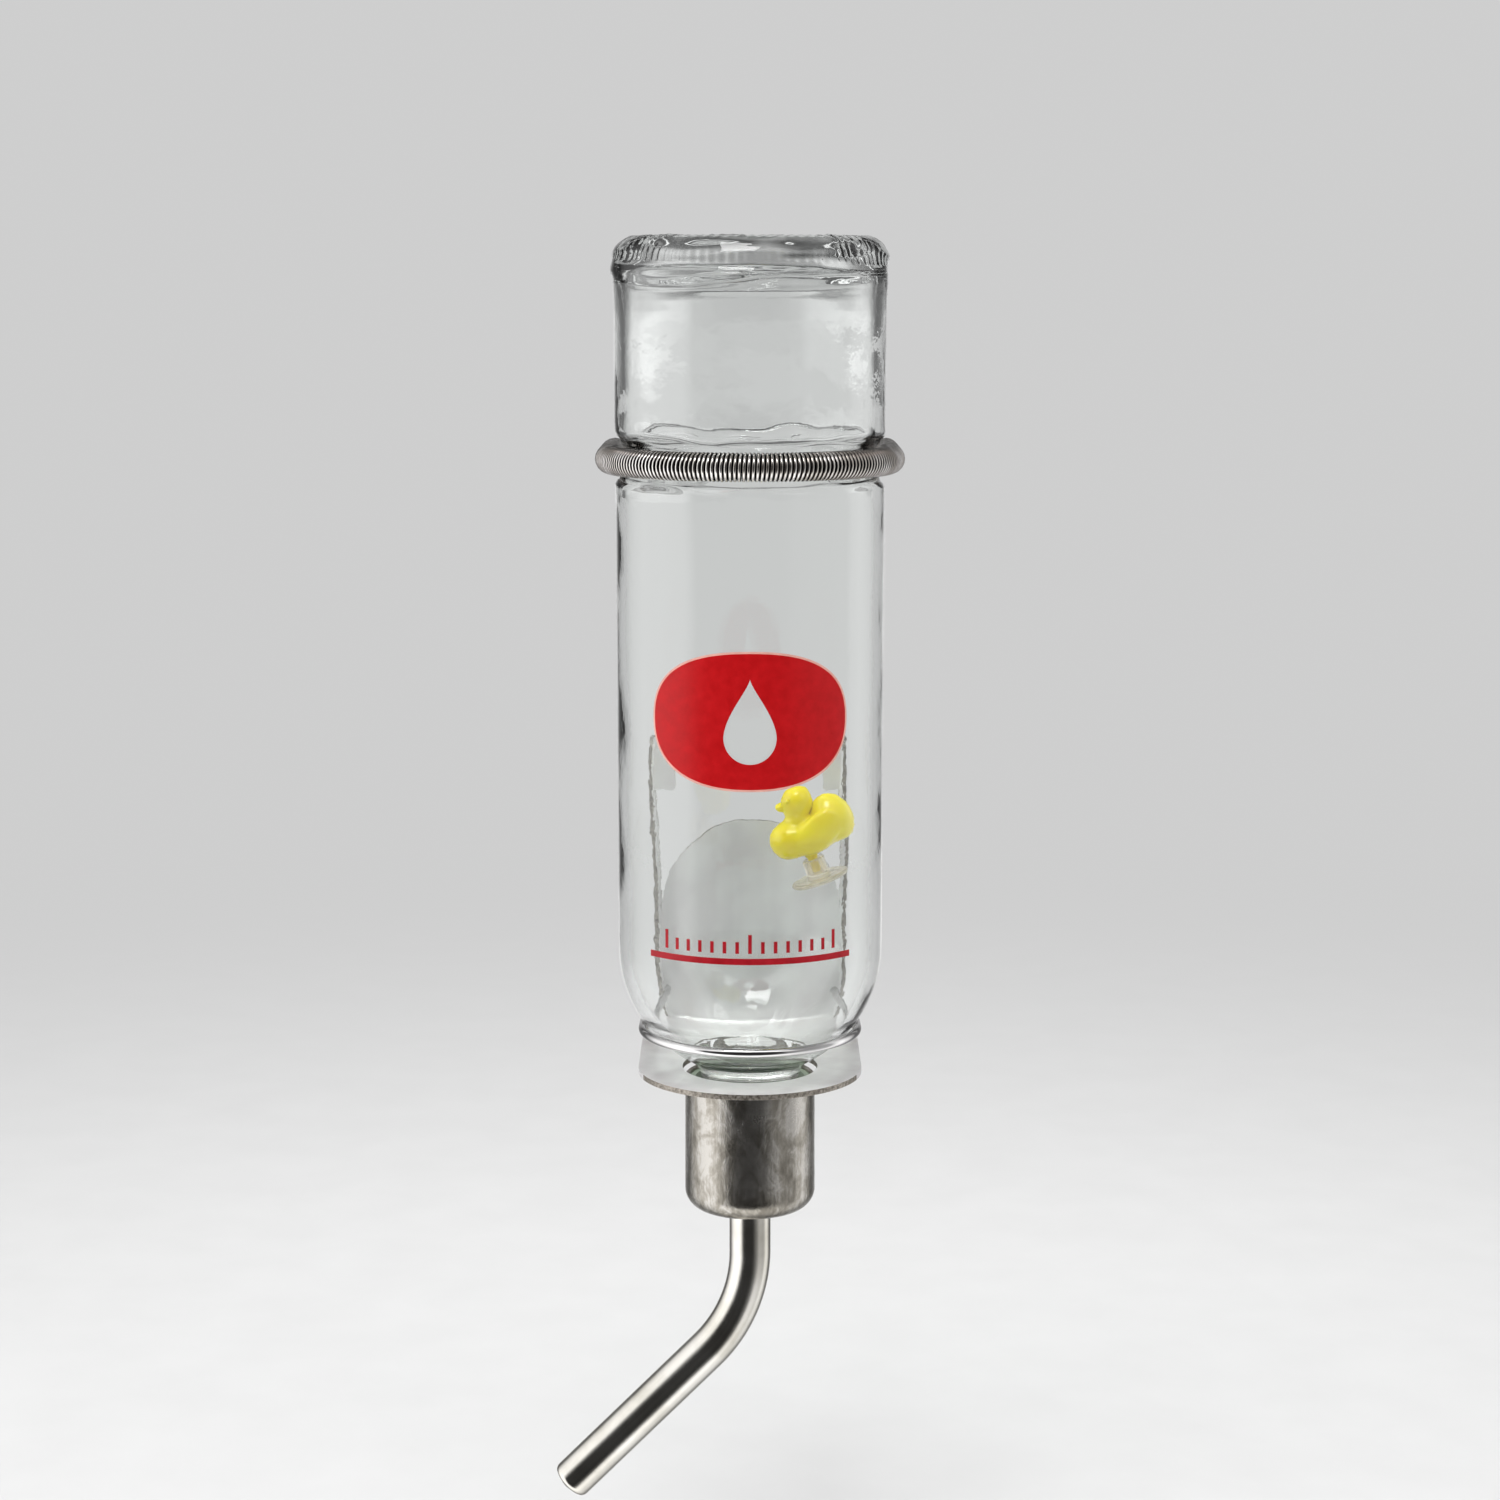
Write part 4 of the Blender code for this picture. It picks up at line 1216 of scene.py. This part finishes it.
def build_stage():
    """Plain pale floor under the hanging bottle, melting into the backdrop far away."""
    nodes = Nodes("stage_pale", Roughness=0.9, Specular_IOR_Level=0.1)
    vector = nodes.coordinates()
    paper = nodes.noise(vector, 40.0, 3.0)
    tone = [(0.3, (0.64, 0.64, 0.64)), (0.7, (0.66, 0.66, 0.66))]
    nodes.paint(nodes.ramp(paper, tone))
    far = nodes.add("ShaderNodeEmission")
    far.inputs["Color"].default_value = (BACKDROP, BACKDROP, BACKDROP, 1)
    reach = nodes.add("ShaderNodeVectorMath", operation="LENGTH")
    nodes.link(vector, reach.inputs[0])
    fade = nodes.add("ShaderNodeMapRange", interpolation_type="SMOOTHSTEP")
    fade.inputs["From Min"].default_value = 0.25
    fade.inputs["From Max"].default_value = 0.95
    nodes.link(reach.outputs["Value"], fade.inputs["Value"])
    nodes.cover(far.outputs["Emission"], fade.outputs["Result"])
    shape = bmesh.new()
    bmesh.ops.create_circle(shape, cap_ends=True, segments=96, radius=FLOOR_R)
    floor = add_object("stage_floor", mesh_of("stage_floor", shape))
    floor.data.materials.append(nodes.material)
    floor.location = (AXIS_X, AXIS_Y, TUBE_LOW.z - FLOOR_DROP)
    floor.visible_glossy = False


# Studio surround on each side of the view: (angle from the backdrop over 180 degrees, brightness)
SURROUND_SIDES = [
    (0.000, 0.62), (0.028, 0.60), (0.050, 0.92), (0.090, 1.05), (0.120, 0.40),
    (0.170, 0.16), (0.260, 0.14),
]
SURROUND_LEFT = SURROUND_SIDES + [
    (0.320, 0.80), (0.420, 1.70), (0.550, 2.00), (0.670, 1.80), (0.705, 0.90),
    (0.730, 0.06), (1.000, 0.03),
]
SURROUND_RIGHT = SURROUND_SIDES + [
    (0.320, 0.90), (0.400, 1.60), (0.460, 1.40), (0.500, 0.60), (0.620, 0.42),
    (0.780, 0.36), (0.820, 0.06), (1.000, 0.03),
]
SURROUND_UP = [
    (0.000, 0.62), (0.066, 0.60), (0.076, 0.14), (0.096, 0.12), (0.112, 0.55),
    (0.140, 0.46), (0.166, 0.36), (0.180, 0.05), (0.210, 0.06), (0.224, 1.50),
    (0.238, 0.08), (0.330, 0.06), (0.450, 0.30), (0.620, 0.35), (0.680, 0.80),
    (0.710, 3.00), (0.760, 3.00), (0.790, 0.40), (0.830, 0.05), (1.000, 0.03),
]
SURROUND_DOWN = [
    (0.000, 0.62), (0.070, 0.62), (0.092, 0.25), (0.125, 0.80), (0.180, 0.90),
    (0.240, 0.30), (0.320, 0.30), (0.420, 0.90), (0.520, 1.60), (0.620, 2.10),
    (0.680, 1.80), (0.720, 0.30), (0.770, 0.04), (0.840, 0.04), (0.900, 0.07),
    (0.950, 0.04), (1.000, 0.03),
]


class World(Nodes):
    """The same short hand for the world's node tree."""

    def __init__(self):
        world = bpy.data.worlds.new("studio")
        world.use_nodes = True
        bpy.context.scene.world = world
        self.tree = world.node_tree
        self.shader = self.tree.nodes["Background"]

    def math(self, operation, first, second):
        node = self.add("ShaderNodeMath", operation=operation)
        for slot, value in zip(node.inputs, (first, second)):
            if isinstance(value, bpy.types.NodeSocket):
                self.link(value, slot)
            else:
                slot.default_value = value
        return node.outputs["Value"]

    def brightness(self, angle, stops):
        """Brightness by angle; stops are (share of 180 degrees, brightness)."""
        peak = max(level for _, level in stops)
        greys = [(position, (level / peak,) * 3) for position, level in stops]
        return self.math("MULTIPLY", self.ramp(angle, greys), peak)


def build_world():
    """A pale backdrop, dark gaps, soft boxes on four sides and darkness at the camera.

    The surround follows the camera, so the object is lit alike from every side.
    """
    world = World()
    source = world.add("ShaderNodeTexCoord")
    unit = world.add("ShaderNodeVectorMath", operation="NORMALIZE")
    world.link(source.outputs["Camera"], unit.inputs[0])
    split = world.add("ShaderNodeSeparateXYZ")
    world.link(unit.outputs["Vector"], split.inputs["Vector"])
    x, y, z = (split.outputs[axis] for axis in "XYZ")

    angle = world.math("DIVIDE", world.math("ARCCOSINE", z, 0.0), math.pi)
    across = world.math("ADD", world.math("MULTIPLY", x, x), world.math("MULTIPLY", y, y))
    across = world.math("MAXIMUM", world.math("SQRT", across, 0.0), 0.0001)
    level = 0.0
    for axis, sign, stops in (
        (x, -1.0, SURROUND_LEFT),
        (x, 1.0, SURROUND_RIGHT),
        (y, 1.0, SURROUND_UP),
        (y, -1.0, SURROUND_DOWN),
    ):
        toward = world.math("MULTIPLY", world.math("DIVIDE", axis, across), sign)
        weight = world.math("POWER", world.math("MAXIMUM", toward, 0.0), 2.0)
        part = world.math("MULTIPLY", world.brightness(angle, stops), weight)
        level = world.math("ADD", part, level)

    path = world.add("ShaderNodeLightPath")
    choose = world.add("ShaderNodeMix")
    choose.inputs["B"].default_value = BACKDROP
    world.link(path.outputs["Is Camera Ray"], choose.inputs["Factor"])
    world.link(level, choose.inputs["A"])
    world.link(choose.outputs["Result"], world.shader.inputs["Strength"])
    world.set(Color=(1.0, 1.0, 1.0, 1.0))


# Soft rectangular lamps: place, width and height, watts, whether the object mirrors it
LAMPS = {
    "light_left": ((-0.75, -0.55, 0.45), (0.50, 0.90), 2.0, False),
    "light_right": ((0.80, -0.45, 0.40), (0.50, 0.90), 1.5, False),
    "light_top": ((0.0, 0.0, 1.1), (0.70, 0.70), 8.0, False),
    "light_key": ((-0.12, -0.42, 0.85), (0.34, 0.22), 2.0, True),
}
LAMP_AIM_H = 0.05
CAMERA_LENS = 73.2
CAMERA_SENSOR = 36.0
CAMERA_AWAY = 0.6764
CAMERA_H = 0.1800
CAMERA_DOWN = 9


def build_lights():
    aim = place(0.0, 0.0, LAMP_AIM_H)
    for name, (position, size, power, mirrored) in LAMPS.items():
        data = bpy.data.lights.new(name, "AREA")
        data.shape = "RECTANGLE"
        data.size, data.size_y = size
        data.energy = power
        lamp = add_object(name, data)
        lamp.location = position
        lamp.rotation_mode = "QUATERNION"
        lamp.rotation_quaternion = (aim - Vector(position)).to_track_quat("-Z", "Y")
        lamp.visible_glossy = mirrored
        lamp.visible_transmission = mirrored


def build_camera():
    """The viewpoint: level with the upper bottle and looking down a little."""
    data = bpy.data.cameras.new("camera")
    data.lens = CAMERA_LENS
    data.sensor_width = CAMERA_SENSOR
    camera = add_object("camera", data)
    camera.location = place(0.0, -CAMERA_AWAY, CAMERA_H)
    camera.rotation_euler = (math.radians(90 - CAMERA_DOWN), 0, 0)
    bpy.context.scene.camera = camera
    bpy.context.scene.view_settings.view_transform = "Standard"


# ---------------- all together


def main():
    glass = glass_material()
    sheet = rolled_sheet()
    wire = bright_wire("wire_steel", (0.66, 0.65, 0.65), 0.05, 0.16)
    coil = coil_steel()
    ball = bright_wire("ball_steel", (0.84, 0.84, 0.84), 0.05, 0.14)
    tube = tube_steel()
    rubber = moulded("grey_rubber", (0.10, 0.10, 0.10), (0.16, 0.16, 0.155), 0.6, 0.85, 900.0)
    sleeve = moulded("sleeve_plastic", (0.20, 0.23, 0.18), (0.29, 0.32, 0.26), 0.38, 0.55, 700.0)
    yellow = duck_plastic()
    red = ink("ink_red", (0.44, 0.001, 0.003), (0.54, 0.003, 0.006))
    pink = ink("ink_rim", (0.72, 0.33, 0.28), (0.82, 0.45, 0.38))
    dark_red = ink("ink_dark_red", (0.32, 0.004, 0.010), (0.44, 0.008, 0.018))

    build_hanger(sheet)
    build_cradle(wire)
    build_bottle(glass)
    build_prints(red, pink, dark_red)
    build_spring(coil)
    build_cap(satin_cap())
    build_inside(sleeve, rubber)
    build_tube(tube)
    build_ball("ball_at_tip", "tip_ball", BALL_LOW, BALL_HIGH, ball)
    build_ball("ball_above", "upper_ball", UPPER_BALL_LOW, UPPER_BALL_HIGH, ball)
    for build in (build_duck, build_bill, build_eyes, build_stem):
        build(yellow)
    build_keel(keel_plastic())
    build_stage()
    build_world()
    build_lights()
    build_camera()


main()
